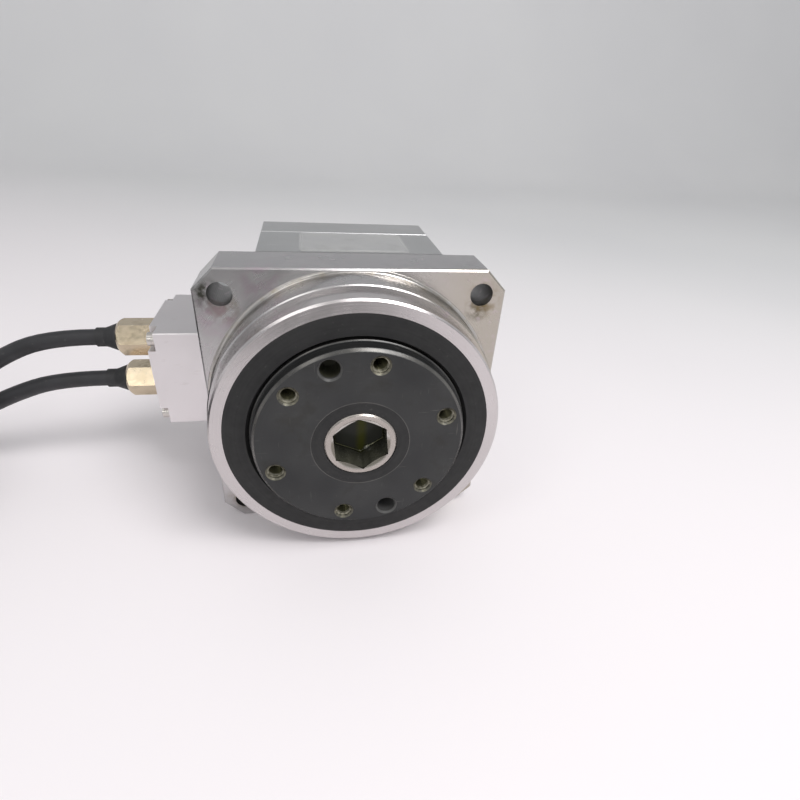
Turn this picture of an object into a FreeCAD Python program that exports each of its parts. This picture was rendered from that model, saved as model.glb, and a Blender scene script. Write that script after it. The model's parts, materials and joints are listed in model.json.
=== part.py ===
import FreeCAD, Part
import math
import os
import re
import Sketcher

# A flat servo actuator: a frameless motor, a strain wave gear and a crossed roller output bearing
# in a square flanged housing, with a cable box and two leads on its left side.
# Millimetres. The origin is the centre of the flange's front mounting face, on the output axis.
# +Z is up, +X is to the right and the output looks along -Y.

SIZES = {
    # Square flange with its pilot
    "flange_side": 110.0,
    "flange_thickness": 20.0,
    "flange_corner": 7.5,
    "edge_break": 0.6,
    "mount_inset": 9.038,
    "mount_hole_dia": 8.5,
    "pilot_wall": 2.35,
    "pilot_length": 12.3,
    "pilot_edge": 0.4,
    # Clearances between seated, rolling and turning pieces
    "seat_gap": 0.05,
    "rolling_gap": 0.1,
    "lip_gap": 0.1,
    "rest_gap": 0.3,
    # How far a cut runs past the face that it opens
    "cut_past": 2.0,
    # Crossed roller bearing
    "ring_wall": 8.4,
    "ring_shoulder": 1.0,
    "ring_length": 9.2,
    "ring_edge": 0.7,
    "ring_back": 1.0,
    "roller_dia": 6.0,
    "roller_length": 5.9,
    "roller_offset": 4.35,
    "roller_setback": 7.3,
    "roller_pairs": 18,
    "race_gap": 0.4,
    "journal_wall": 2.4,
    "journal_edge": 0.4,
    "inner_ring_recess": 0.8,
    "shoulder_length": 1.1,
    # Front oil seal between the two rings
    "ring_rim": 4.65,
    "front_seal_depth": 7.2,
    "front_seal_case": 1.7,
    "front_seal_lip": 1.2,
    "front_seal_web": 2.4,
    "front_seal_tail": 5.4,
    "seal_land": 0.6,
    # Output flange
    "output_step": 1.0,
    "output_rise": 4.8,
    "output_disc": 4.6,
    "output_edge": 1.1,
    "output_hole_inset": 5.65,
    "output_hole_dia": 6.0,
    "output_hole_mouth": 7.4,
    "output_hole_depth": 12.0,
    "output_holes": 6,
    "output_hole_angle": 10.7,
    "dowel_dia": 7.0,
    "dowel_mouth": 8.4,
    "dowel_depth": 10.0,
    "dowel_holes": 2,
    "dowel_angle": -19.3,
    "hub_back": 8.0,
    "hub_wall": 2.0,
    # Centre seal and rotor shaft
    "center_seal_dia": 34.8,
    "center_seal_depth": 6.3,
    "center_seal_case": 1.2,
    "center_seal_lip": 1.0,
    "center_seal_web": 1.7,
    "center_seal_tail": 3.8,
    "center_rib": 1.0,
    "center_rib_dia": 31.0,
    "sleeve_dia": 26.0,
    "sleeve_rise": 0.3,
    "sleeve_edge": 0.6,
    "hex_across": 19.0,
    "hex_depth": 10.5,
    "hex_angle": -5.5,
    "hex_lead": 0.8,
    "shaft_dia": 25.0,
    "tail_dia": 20.0,
    "encoder_seat_dia": 16.0,
    # Ball bearings of the rotor
    "front_bearing_dia": 37.0,
    "rear_bearing_dia": 32.0,
    "bearing_width": 7.0,
    "bearing_ring": 1.7,
    "cage_gap": 0.3,
    "cage_width": 4.6,
    # Strain wave gear
    "flex_teeth": 100,
    "tooth_difference": 2,
    "flex_radius": 24.0,
    "tooth_height": 0.8,
    "tooth_tip": 0.25,
    "tooth_root": 0.95,
    "tooth_play": 0.1,
    "flex_wall": 0.8,
    "flex_face": 10.0,
    "flex_diaphragm": 0.8,
    "diaphragm_lift": 0.4,
    "brim_width": 9.9,
    "brim_seat": 13.0,
    "brim_thickness": 3.0,
    "outer_race_wall": 1.4,
    "wave_ball_space": 2.2,
    "inner_race_wall": 1.6,
    "spline_back": 4.0,
    "spline_wall": 1.92,
    "collar_step": 4.8,
    "spline_clearance": 2.5,
    "web_front": 6.0,
    "web_clearance": 4.52,
    # Motor housing and rear cover
    "body_arm": 70.0,
    "body_length": 30.0,
    "cover_length": 19.0,
    "motor_spigot_wall": 2.85,
    "rear_wall": 5.0,
    "rear_lip": 1.0,
    "rear_lip_dia": 26.4,
    "boss_dia": 42.0,
    "cover_side_wall": 5.5,
    "cover_wall": 3.5,
    "passage_dia": 12.0,
    # O-rings
    "cord_ring": 1.3,
    "groove_offset": 1.2,
    "groove_land": 1.7,
    # Motor
    "stator_start": 4.0,
    "stator_length": 16.0,
    "stator_bore_dia": 56.0,
    "stator_yoke": 3.2,
    "stator_teeth": 12,
    "tooth_width": 7.0,
    "shoe_width": 12.0,
    "shoe_height": 1.6,
    "shoe_edge": 0.9,
    "coil_side": 3.2,
    "coil_overhang": 3.4,
    "coil_height": 6.4,
    "coil_clearance": 1.7,
    "air_gap": 0.6,
    "magnet_height": 2.35,
    "magnet_arc": 30.0,
    "magnets": 10,
    "sleeve_wall": 2.5,
    # Encoder
    "encoder_hub_gap": 1.0,
    "encoder_hub_dia": 24.0,
    "encoder_hub_length": 3.0,
    "encoder_disc_dia": 40.0,
    "encoder_disc_thickness": 1.0,
    "board_dia": 72.0,
    "board_thickness": 1.6,
    "board_setback": 10.0,
    "board_post_dia": 7.0,
    "board_post_pcd": 60.0,
    "board_posts": 3,
    "reader_side": 8.0,
    "reader_inset": 6.0,
    "reader_height": 1.6,
    # Cap screws
    "small_screw": 3.0,
    "small_head": 5.5,
    "small_key": 2.5,
    "large_screw": 4.0,
    "large_head": 7.0,
    "large_key": 3.0,
    "head_room": 0.4,
    "ring_screw_inset": 2.6,
    "ring_screws": 8,
    "ring_screw_reach": 5.0,
    "ring_screw_floor": 2.0,
    "ring_screw_angle": 22.5,
    "output_screws": 6,
    "output_screw_reach": 6.0,
    "brim_screw_inset": 5.9,
    "brim_screws": 8,
    "brim_screw_reach": 5.0,
    "housing_screw_side": 5.0,
    "housing_screw_inset": 8.0,
    "housing_screw_reach": 9.0,
    "thread_end": 1.0,
    # Cable box with its two glands
    "box_reach": 25.2,
    "box_width": 44.5,
    "box_height": 42.0,
    "box_setback": 4.0,
    "box_wall": 3.0,
    "box_gasket": 0.8,
    "gasket_rim": 4.0,
    "box_notch": 7.6,
    "box_notch_depth": 3.0,
    "box_edge": 0.4,
    "box_screw_reach": 6.0,
    "gland_spacing": 20.0,
    "gland_setback": 26.0,
    "gland_thread_dia": 12.0,
    "gland_collar_dia": 13.4,
    "gland_collar": 1.8,
    "gland_inside": 4.0,
    "gland_stub_dia": 10.0,
    "gland_stub": 7.0,
    "gland_across": 14.0,
    "gland_nut": 15.0,
    "gland_nut_edge": 1.6,
    "boot_base_dia": 11.6,
    "boot_band": 1.0,
    "boot_taper": 5.4,
    "boot_end_dia": 8.2,
    "boot_length": 9.0,
    # Leads and their connectors
    "cable_dia": 7.0,
    "coil_layers": 3,
    "coil_pitch": 7.3,
    "coil_mean_dia": 82.0,
    "coil_x": -222.0,
    "coil_y": 1.5,
    "connector_width": 16.0,
    "connector_height": 14.0,
    "connector_length": 26.0,
    "connector_nose": 10.0,
    "connector_step": 1.5,
    "connector_tail": 8.0,
    "connector_tail_dia": 10.0,
    "connector_lead": 10.0,
}

doc = FreeCAD.newDocument("servo_actuator")
sheet = doc.addObject("Spreadsheet::Sheet", "Dims")
for row, (alias, number) in enumerate(SIZES.items(), 1):
    sheet.set(f"A{row}", alias)
    sheet.set(f"B{row}", str(number))
    sheet.setAlias(f"B{row}", alias)
doc.recompute()

subparts = []


# Expressions in the words of the sheet

def linked(text):
    """The expression with each alias pointed at its cell."""
    def cell(match):
        word = match.group()
        return "Dims." + word if word in SIZES else word
    return re.sub(r"[a-z][a-z_0-9]*", cell, text)


def size(text):
    """The present value of an expression in the sheet's words."""
    return float(sheet.evalExpression(linked(text)))


def around(radius, angle, step=0):
    """Place on a circle in the XZ plane, the angle taken from +Z towards +X."""
    turn = f"({angle} + {step})"
    return f"{radius} * sin({turn})", f"{radius} * cos({turn})"


# Planes and levels along Y
PILOT_FACE = "(-pilot_length)"
RING_FACE = "(-pilot_length - ring_length)"
OUTPUT_FACE = f"({RING_FACE} - output_rise)"
DISC_BACK = f"({OUTPUT_FACE} + output_disc)"
SEAL_BACK = f"({RING_FACE} + front_seal_depth)"
ROLLER_PLANE = "(-roller_setback)"
RING_BACK = "(-ring_back)"
INNER_BACK = "(-ring_back - inner_ring_recess)"
HUB_BACK = "(-hub_back)"
SHAFT_FRONT = f"({OUTPUT_FACE} - sleeve_rise)"
CENTER_SEAL_BACK = f"({OUTPUT_FACE} + center_seal_depth)"
FRONT_BEARING = f"({CENTER_SEAL_BACK} + center_rib)"
FLEX_FRONT = "(spline_back - flex_face)"
BRIM_BACK = "(brim_seat + brim_thickness)"
BODY_BACK = "(flange_thickness + body_length)"
COVER_BACK = f"({BODY_BACK} + cover_length)"
WALL_FRONT = f"({BODY_BACK} - rear_wall)"
REAR_BEARING = f"({WALL_FRONT} + rear_lip)"
STATOR_FRONT = "(flange_thickness + stator_start)"
STATOR_BACK = f"({STATOR_FRONT} + stator_length)"
HUB_SEAT = f"({REAR_BEARING} + bearing_width + encoder_hub_gap)"
DISC_SEAT = f"({HUB_SEAT} + encoder_hub_length)"
BOARD_FRONT = f"({BODY_BACK} + board_setback)"

# Radii from the gear outwards, each piece placed by its wall round the one inside it
WAVE = "(flex_radius * tooth_difference / flex_teeth)"
SPLINE_RADIUS = f"(flex_radius + {WAVE})"
SCREW_ROOM = "((large_head + head_room) / 2)"
OUTPUT_SCREW_CIRCLE = f"({SPLINE_RADIUS} + tooth_height / 2 + spline_wall + {SCREW_ROOM})"
HUB = f"({OUTPUT_SCREW_CIRCLE} + {SCREW_ROOM} + hub_wall)"
COLLAR = f"({HUB} + collar_step)"
JOURNAL = f"({HUB} + seat_gap + journal_wall)"
OUTPUT = f"({JOURNAL} - output_step)"
OUTPUT_HOLE_CIRCLE = f"({OUTPUT} - output_hole_inset)"
ROLLERS = f"({JOURNAL} + roller_offset)"
SPIGOT = f"({ROLLERS} + ring_wall)"
RING = f"({SPIGOT} + ring_shoulder)"
RING_SCREW_CIRCLE = f"({SPIGOT} - ring_screw_inset)"
FRONT_SEAL = f"({RING} - ring_rim)"
PILOT = f"({SPIGOT} + seat_gap + pilot_wall)"

# Radii of the motor from the stator's bore outwards, of the flexspline's brim and of the rear cover
COIL_FOOT = "(stator_bore_dia / 2 + shoe_height + 2 * seat_gap)"
YOKE_INNER = f"({COIL_FOOT} + coil_height + coil_clearance)"
YOKE_OUTER = f"({YOKE_INNER} + stator_yoke)"
MOTOR_BORE = f"({YOKE_OUTER} + seat_gap)"
BRIM = f"({MOTOR_BORE} + motor_spigot_wall)"
BRIM_INNER = f"({BRIM} - brim_width)"
WEB_BORE = f"({SPLINE_RADIUS} + web_clearance)"
COVER_BORE = "(body_arm / sqrt(2) - cover_side_wall)"
REAR_GROOVE = f"({COVER_BORE} + groove_land)"

# Radii of the bearing's races and V grooves
OUTER_RACE = f"({ROLLERS} + race_gap)"
INNER_RACE = f"({ROLLERS} - race_gap)"
GROOVE = "(roller_dia / sqrt(2) + rolling_gap * sqrt(2))"
GROOVE_HALF = f"({GROOVE} - race_gap)"

# Faces of the cable box, from the body's left side outwards, and the floor
BODY_SIDE = "(-flange_side / 2)"
BOX_INNER = f"({BODY_SIDE} - box_gasket)"
BOX_FACE = f"({BODY_SIDE} - box_reach)"
BOX_FRONT = "(flange_thickness + box_setback)"
BOX_BACK = f"({BOX_FRONT} + box_width)"
GLAND_Y = "(flange_thickness + gland_setback)"
NUT_SEAT = f"({BOX_FACE} - gland_collar)"
NUT_END = f"({NUT_SEAT} - gland_nut)"
BOOT_END = f"({NUT_END} - boot_length)"
FLOOR = "(-flange_side / 2)"


# Sketches, pads, pockets and turned bodies

def new_body(name):
    body = doc.addObject("PartDesign::Body", name)
    body.Label = name
    subparts.append(body)
    return body


def origin_feature(body, role):
    return next(item for item in body.Origin.OriginFeatures if item.Role == role)


def new_sketch(body, plane, offset="0"):
    """Sketch on one of the body's own planes, moved along the plane's normal."""
    sketch = body.newObject("Sketcher::SketchObject", body.Name + "_sketch")
    sketch.AttachmentSupport = [(origin_feature(body, plane), "")]
    sketch.MapMode = "FlatFace"
    if offset != "0":
        sketch.setExpression("AttachmentOffset.Base.z", linked(offset))
    return sketch


def bind_point(sketch, curve, point, across, up):
    """Tie a point of a curve to its two coordinates in the sheet."""
    for kind, axis, text in (("DistanceX", -2, across), ("DistanceY", -1, up)):
        if text == "0":
            sketch.addConstraint(Sketcher.Constraint("PointOnObject", curve, point, axis))
            continue
        index = sketch.addConstraint(Sketcher.Constraint(kind, -1, 1, curve, point, size(text)))
        sketch.setExpression(f"Constraints[{index}]", linked(text))


def draw_outline(sketch, points):
    """Closed outline of straight lines through points given as pairs of expressions."""
    corners = [FreeCAD.Vector(size(across), size(up), 0) for across, up in points]
    first = sketch.GeometryCount
    following = corners[1:] + corners[:1]
    sketch.addGeometry([Part.LineSegment(a, b) for a, b in zip(corners, following)], False)
    for step, (across, up) in enumerate(points):
        after = first + (step + 1) % len(points)
        sketch.addConstraint(Sketcher.Constraint("Coincident", first + step, 2, after, 1))
        bind_point(sketch, first + step, 1, across, up)


def draw_circle(sketch, across, up, diameter):
    centre = FreeCAD.Vector(size(across), size(up), 0)
    circle = Part.Circle(centre, FreeCAD.Vector(0, 0, 1), size(diameter) / 2)
    curve = sketch.addGeometry(circle, False)
    index = sketch.addConstraint(Sketcher.Constraint("Diameter", curve, size(diameter)))
    sketch.setExpression(f"Constraints[{index}]", linked(diameter))
    bind_point(sketch, curve, 3, across, up)


def extrude(body, kind, sketch, length):
    feature = body.newObject(kind, body.Name + "_" + kind.split("::")[1].lower())
    feature.Profile = sketch
    feature.setExpression("Length", linked(length))
    body.Tip = feature
    return feature


def sketch_y(body, level):
    """Sketch across the output axis at a level along Y; its normal points to the front."""
    return new_sketch(body, "XZ_Plane", f"-({level})")


def pad_y(body, front, back, draw):
    """Solid between two levels along Y."""
    sketch = sketch_y(body, back)
    draw(sketch)
    return extrude(body, "PartDesign::Pad", sketch, f"({back}) - ({front})")


def pocket_y(body, front, back, draw):
    """Cut between two levels along Y."""
    sketch = sketch_y(body, front)
    draw(sketch)
    return extrude(body, "PartDesign::Pocket", sketch, f"({back}) - ({front})")


def pad_x(body, left, right, draw):
    """Solid between two levels along X; the sketch has Y across and Z up."""
    sketch = new_sketch(body, "YZ_Plane", left)
    draw(sketch)
    return extrude(body, "PartDesign::Pad", sketch, f"({right}) - ({left})")


def pocket_x(body, left, right, draw):
    """Cut between two levels along X."""
    sketch = new_sketch(body, "YZ_Plane", right)
    draw(sketch)
    return extrude(body, "PartDesign::Pocket", sketch, f"({right}) - ({left})")


def outline(points):
    return lambda sketch: draw_outline(sketch, points)


def circles(centres, diameter):
    def draw(sketch):
        for across, up in centres:
            draw_circle(sketch, across, up, diameter)
    return draw


def rectangle(left, right, low, high):
    return [(left, low), (right, low), (right, high), (left, high)]


def hexagon(across_flats, angle, centre=("0", "0")):
    """Hexagon with a corner at the given angle from the sketch's up direction."""
    points = []
    for corner in range(6):
        across, up = around(f"{across_flats} / sqrt(3)", angle, 60 * corner)
        points.append((f"{centre[0]} + {across}", f"{centre[1]} + {up}"))
    return points


def four_places(across, up):
    """The four corners of a rectangle about the axis."""
    halves = ((1, 1), (1, -1), (-1, -1), (-1, 1))
    return [(f"{sx} * {across} / 2", f"{sz} * {up} / 2") for sx, sz in halves]


def revolve(body, sketch, kind="PartDesign::Revolution"):
    """Turn a sketch about its own upright axis."""
    turn = body.newObject(kind, body.Name + "_turn")
    turn.Profile = sketch
    turn.ReferenceAxis = (sketch, ["V_Axis"])
    turn.Angle = 360
    body.Tip = turn
    return turn


def add_turn(body, points, kind="PartDesign::Revolution", plane="XY_Plane"):
    """Revolve a half section, radius across and level up, about the upright axis."""
    sketch = new_sketch(body, plane)
    draw_outline(sketch, points)
    return revolve(body, sketch, kind)


def turned(name, points, plane="XY_Plane"):
    body = new_body(name)
    add_turn(body, points, plane=plane)
    return body


def ring_section(inner, outer, front, back):
    return [(inner, front), (outer, front), (outer, back), (inner, back)]


def polar(body, features, count):
    """Repeat features evenly about the output axis."""
    pattern = body.newObject("PartDesign::PolarPattern", body.Name + "_pattern")
    pattern.Originals = features
    pattern.Axis = (origin_feature(body, "Y_Axis"), [""])
    pattern.Angle = 360
    pattern.setExpression("Occurrences", linked(count))
    body.Tip = pattern
    return pattern


def chamfer(body, keep, amount):
    """Break the edges of the body that a test picks."""
    doc.recompute()
    base = body.Tip
    picked = [f"Edge{number}" for number, edge in enumerate(base.Shape.Edges, 1) if keep(edge)]
    feature = body.newObject("PartDesign::Chamfer", body.Name + "_chamfer")
    feature.Base = (base, picked)
    feature.setExpression("Size", linked(amount))
    body.Tip = feature
    return feature


TOUCH = 1e-4


def is_line(edge):
    return isinstance(edge.Curve, Part.Line)


def along_x(edge):
    """Test for straight edges that run along X."""
    ends = [vertex.Point.x for vertex in edge.Vertexes]
    return is_line(edge) and abs(ends[0] - ends[-1]) > TOUCH


def at_level(axis, *levels):
    """Test for straight edges that lie wholly at one of the levels along an axis."""
    places = [size(level) for level in levels]

    def keep(edge):
        ends = [vertex.Point[axis] for vertex in edge.Vertexes]
        flat = any(all(abs(end - place) < TOUCH for end in ends) for place in places)
        return is_line(edge) and flat
    return keep


def shaped(name, shape):
    """Sub-part whose form is worked out in code."""
    feature = doc.addObject("Part::Feature", name)
    feature.Label = name
    feature.Shape = shape
    subparts.append(feature)
    return feature


def cap_screws(name, places, seat, reach, kind, count=None):
    """Socket head screws along Y, heads to the rear; a count repeats the first about the axis."""
    body = new_body(name)
    head_back = f"({seat} + {kind}_screw)"
    socket_front = f"({seat} + {kind}_screw / 2)"
    features = [
        pad_y(body, f"({seat} - ({reach}))", seat, circles(places, f"{kind}_screw")),
        pad_y(body, seat, head_back, circles(places, f"{kind}_head")),
    ]
    for place in places:
        socket = outline(hexagon(f"{kind}_key", "0", place))
        features.append(pocket_y(body, socket_front, head_back, socket))
    if count:
        polar(body, features, count)


# Housing: square flange with pilot, cross-shaped motor housing and rear cover

HOUSING_SCREWS = four_places(
    "(body_arm - 2 * housing_screw_side)", "(flange_side - 2 * housing_screw_inset)")
RING_SCREW = around(RING_SCREW_CIRCLE, "ring_screw_angle")
BRIM_SCREW = around(f"({BRIM} - brim_screw_inset)", "0")
BOARD_POST = around("board_post_pcd / 2", "0")
OUTPUT_SCREW = around(OUTPUT_SCREW_CIRCLE, "dowel_angle")
RING_SCREW_SEAT = "(web_front + ring_screw_floor)"


def flange_outline():
    half = "flange_side / 2"
    inset = "(flange_side / 2 - flange_corner)"
    quarter = [(half, inset), (inset, half)]
    points = []
    for sx, sz in ((1, 1), (-1, 1), (-1, -1), (1, -1)):
        corner = [(f"{sx} * {across}", f"{sz} * {up}") for across, up in quarter]
        points += corner if sx * sz > 0 else corner[::-1]
    return points


def cross_outline():
    """Square with its four corners notched out for the mounting screws."""
    half = "flange_side / 2"
    arm = "body_arm / 2"
    quarter = [(half, arm), (arm, arm), (arm, half)]
    points = []
    for sx, sz in ((1, 1), (-1, 1), (-1, -1), (1, -1)):
        corner = [(f"{sx} * {across}", f"{sz} * {up}") for across, up in quarter]
        points += corner if sx * sz > 0 else corner[::-1]
    return points


def tapped(diameter):
    return f"{diameter} + 2 * seat_gap"


def make_flange():
    body = new_body("mounting_flange")
    pad_y(body, "0", "flange_thickness", outline(flange_outline()))
    chamfer(body, at_level(1, "0", "flange_thickness"), "edge_break")
    add_turn(body, [
        ("0", PILOT_FACE), (f"({PILOT} - pilot_edge)", PILOT_FACE),
        (PILOT, f"({PILOT_FACE} + pilot_edge)"), (PILOT, "0"), ("0", "0"),
    ])
    bore = f"({SPIGOT} + seat_gap)"
    clearance = f"({COLLAR} + spline_clearance)"
    recess = f"({BRIM} + seat_gap)"
    ahead = f"({PILOT_FACE} - cut_past)"
    behind = "(flange_thickness + cut_past)"
    add_turn(body, [
        ("0", ahead), (bore, ahead), (bore, RING_BACK), (clearance, RING_BACK),
        (clearance, "web_front"), (WEB_BORE, "web_front"), (WEB_BORE, "brim_seat"),
        (recess, "brim_seat"), (recess, behind), ("0", behind),
    ], "PartDesign::Groove")
    mounts = four_places("(flange_side - 2 * mount_inset)", "(flange_side - 2 * mount_inset)")
    pocket_y(body, "0", "flange_thickness", circles(mounts, "mount_hole_dia"))
    shank_hole = circles([RING_SCREW], "small_screw + head_room")
    head_hole = circles([RING_SCREW], "small_head + head_room")
    shank = pocket_y(body, RING_BACK, RING_SCREW_SEAT, shank_hole)
    head = pocket_y(body, RING_SCREW_SEAT, "flange_thickness", head_hole)
    polar(body, [shank, head], "ring_screws")
    brim_depth = "(brim_seat - brim_screw_reach - thread_end)"
    brim = pocket_y(body, brim_depth, "brim_seat", circles([BRIM_SCREW], tapped("small_screw")))
    polar(body, [brim], "brim_screws")
    housing_depth = "(flange_thickness - housing_screw_reach - thread_end)"
    pocket_y(body, housing_depth, "flange_thickness", circles(HOUSING_SCREWS, tapped("large_screw")))


def make_motor_housing():
    body = new_body("motor_housing")
    pad_y(body, "flange_thickness", BODY_BACK, outline(cross_outline()))
    chamfer(body, at_level(1, BODY_BACK), "edge_break")
    groove_floor = f"({BRIM} - cord_ring - seat_gap)"
    groove_front = f"({BRIM_BACK} + groove_offset)"
    groove_back = f"({groove_front} + cord_ring + 2 * seat_gap)"
    add_turn(body, [
        (MOTOR_BORE, BRIM_BACK), (BRIM, BRIM_BACK), (BRIM, groove_front),
        (groove_floor, groove_front), (groove_floor, groove_back), (BRIM, groove_back),
        (BRIM, "flange_thickness"), (MOTOR_BORE, "flange_thickness"),
    ])
    boss_back = f"({REAR_BEARING} + bearing_width)"
    pad_y(body, BODY_BACK, boss_back, circles([("0", "0")], "boss_dia"))
    seat = "(rear_bearing_dia / 2 + seat_gap)"
    behind = f"({boss_back} + cut_past)"
    add_turn(body, [
        ("0", "flange_thickness"), (MOTOR_BORE, "flange_thickness"),
        (MOTOR_BORE, WALL_FRONT), ("rear_lip_dia / 2", WALL_FRONT),
        ("rear_lip_dia / 2", REAR_BEARING), (seat, REAR_BEARING), (seat, behind), ("0", behind),
    ], "PartDesign::Groove")
    ring_inner = f"({REAR_GROOVE} - cord_ring / 2 - seat_gap)"
    ring_outer = f"({REAR_GROOVE} + cord_ring / 2 + seat_gap)"
    ring_floor = f"({BODY_BACK} - cord_ring - 2 * seat_gap)"
    ring_groove = ring_section(ring_inner, ring_outer, ring_floor, f"({BODY_BACK} + cut_past)")
    add_turn(body, ring_groove, "PartDesign::Groove")
    post = pad_y(body, BODY_BACK, BOARD_FRONT, circles([BOARD_POST], "board_post_dia"))
    thread = f"({BOARD_FRONT} - 2 * small_screw - thread_end)"
    hole = pocket_y(body, thread, BOARD_FRONT, circles([BOARD_POST], tapped("small_screw")))
    polar(body, [post, hole], "board_posts")
    pocket_y(body, "flange_thickness", BODY_BACK, circles(HOUSING_SCREWS, "large_screw + head_room"))
    passage_y = f"({STATOR_BACK} + coil_overhang / 2 - passage_dia / 4)"
    passage_end = f"(-{MOTOR_BORE} + cut_past)"
    pocket_x(body, BODY_SIDE, passage_end, circles([(passage_y, "0")], "passage_dia / 2"))
    front_screws = [place for place in box_screw_places() if place[0] == BOX_SCREW_FRONT]
    thread_x = f"({BODY_SIDE} + box_screw_reach + thread_end)"
    pocket_x(body, BODY_SIDE, thread_x, circles(front_screws, tapped("small_screw")))


def make_rear_cover():
    body = new_body("rear_cover")
    pad_y(body, BODY_BACK, COVER_BACK, outline(cross_outline()))
    chamfer(body, at_level(1, BODY_BACK), "edge_break")
    chamfer(body, at_level(1, COVER_BACK), "2 * edge_break")
    floor = f"({COVER_BACK} - cover_wall)"
    pocket_y(body, BODY_BACK, floor, circles([("0", "0")], f"2 * {COVER_BORE}"))
    seat = f"({COVER_BACK} - large_screw - head_room)"
    pocket_y(body, BODY_BACK, seat, circles(HOUSING_SCREWS, "large_screw + head_room"))
    pocket_y(body, seat, COVER_BACK, circles(HOUSING_SCREWS, "large_head + head_room"))
    passage = [(f"({BODY_BACK} + cover_length / 2)", "0")]
    pocket_x(body, BODY_SIDE, f"(-{COVER_BORE} + cut_past)", circles(passage, "passage_dia"))
    rear_screws = [place for place in box_screw_places() if place[0] == BOX_SCREW_BACK]
    thread_x = f"({BODY_SIDE} + box_screw_reach + thread_end)"
    pocket_x(body, BODY_SIDE, thread_x, circles(rear_screws, tapped("small_screw")))


def cord_ring(name, middle, level):
    body = new_body(name)
    sketch = new_sketch(body, "XY_Plane")
    draw_circle(sketch, middle, level, "cord_ring")
    revolve(body, sketch)


def make_cord_rings():
    """O-rings in the grooves at the two ends of the motor housing."""
    front = f"({BRIM_BACK} + groove_offset + cord_ring / 2 + seat_gap)"
    cord_ring("housing_o_ring", f"({BRIM} - cord_ring / 2)", front)
    cord_ring("rear_o_ring", REAR_GROOVE, f"({BODY_BACK} - cord_ring / 2 - seat_gap)")


# Output side: crossed roller bearing, seals and output flange

def make_crossed_roller_bearing():
    ring = turned("bearing_outer_ring", [
        (f"{RING} - ring_edge", RING_FACE), (RING, f"{RING_FACE} + ring_edge"),
        (RING, PILOT_FACE), (SPIGOT, PILOT_FACE), (SPIGOT, RING_BACK),
        (OUTER_RACE, RING_BACK), (OUTER_RACE, f"{ROLLER_PLANE} + {GROOVE_HALF}"),
        (f"{ROLLERS} + {GROOVE}", ROLLER_PLANE), (OUTER_RACE, f"{ROLLER_PLANE} - {GROOVE_HALF}"),
        (OUTER_RACE, SEAL_BACK), (FRONT_SEAL, SEAL_BACK), (FRONT_SEAL, RING_FACE),
    ])
    depth = f"({RING_BACK} - ring_screw_reach)"
    hole = pocket_y(ring, depth, RING_BACK, circles([RING_SCREW], tapped("small_screw")))
    polar(ring, [hole], "ring_screws")
    bore = f"({HUB} + seat_gap)"
    apex = f"{ROLLERS} - {GROOVE}"
    front_edge = f"{ROLLER_PLANE} - {GROOVE_HALF}"
    turned("bearing_inner_ring_front", [
        (bore, DISC_BACK), (f"{JOURNAL} - journal_edge", DISC_BACK),
        (JOURNAL, f"{DISC_BACK} + journal_edge"), (JOURNAL, f"{front_edge} - shoulder_length"),
        (INNER_RACE, f"{front_edge} - shoulder_length"),
        (INNER_RACE, front_edge), (apex, ROLLER_PLANE), (bore, ROLLER_PLANE),
    ])
    turned("bearing_inner_ring_rear", [
        (bore, ROLLER_PLANE), (apex, ROLLER_PLANE), (INNER_RACE, f"{ROLLER_PLANE} + {GROOVE_HALF}"),
        (INNER_RACE, INNER_BACK), (bore, INNER_BACK),
    ])


def make_rollers():
    """Cylinders in the V groove, each crossed at a right angle to its neighbours."""
    count = 2 * int(size("roller_pairs"))
    length = size("roller_length")
    rollers = []
    for number in range(count):
        angle = 2 * math.pi * number / count
        lean = 1 if number % 2 else -1
        outward = FreeCAD.Vector(math.sin(angle), 0, math.cos(angle))
        axis = (outward + FreeCAD.Vector(0, lean, 0)).normalize()
        centre = outward * size(ROLLERS) + FreeCAD.Vector(0, size(ROLLER_PLANE), 0)
        start = centre - axis * (length / 2)
        rollers.append(Part.makeCylinder(size("roller_dia / 2"), length, start, axis))
    shaped("crossed_rollers", Part.makeCompound(rollers))


def lip_seal(name, bore, journal, front, back):
    """Rubber lip seal: a flat web at the front, a case at the outside and a lip on the journal."""
    outer = f"({bore} - seat_gap)"
    lip = f"({journal} + lip_gap)"
    lip_root = f"({lip} + {name}_lip)"
    case = f"({outer} - {name}_case)"
    web = f"({front} + {name}_web)"
    tail = f"({front} + {name}_tail)"
    return [
        (outer, front), (lip_root, front), (lip, web), (lip, f"{web} + seal_land"),
        (f"{lip} + {name}_lip / 2", tail), (lip_root, tail), (lip_root, web), (case, web),
        (case, back), (outer, back),
    ]


def make_seals():
    turned("front_oil_seal", lip_seal(
        "front_seal", FRONT_SEAL, JOURNAL, RING_FACE, SEAL_BACK))
    turned("center_oil_seal", lip_seal(
        "center_seal", "center_seal_dia / 2", "sleeve_dia / 2", OUTPUT_FACE, CENTER_SEAL_BACK))


def countersunk_holes(body, kind, count):
    """Blind holes of one kind on the output's pitch circle, evenly spaced."""
    sketch = sketch_y(body, OUTPUT_FACE)
    draw_circle(sketch, *around(OUTPUT_HOLE_CIRCLE, f"{kind}_angle"), f"{kind}_dia")
    doc.recompute()
    hole = body.newObject("PartDesign::Hole", body.Name + "_hole")
    hole.Profile = sketch
    hole.Threaded = False
    hole.DepthType = "Dimension"
    hole.DrillPoint = "Flat"
    hole.HoleCutType = "Countersink"
    hole.HoleCutCustomValues = True
    hole.HoleCutCountersinkAngle = 90
    hole.setExpression("Diameter", linked(f"{kind}_dia"))
    hole.setExpression("HoleCutDiameter", linked(f"{kind}_mouth"))
    hole.setExpression("Depth", linked(f"{kind}_depth"))
    body.Tip = hole
    polar(body, [hole], count)


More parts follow.
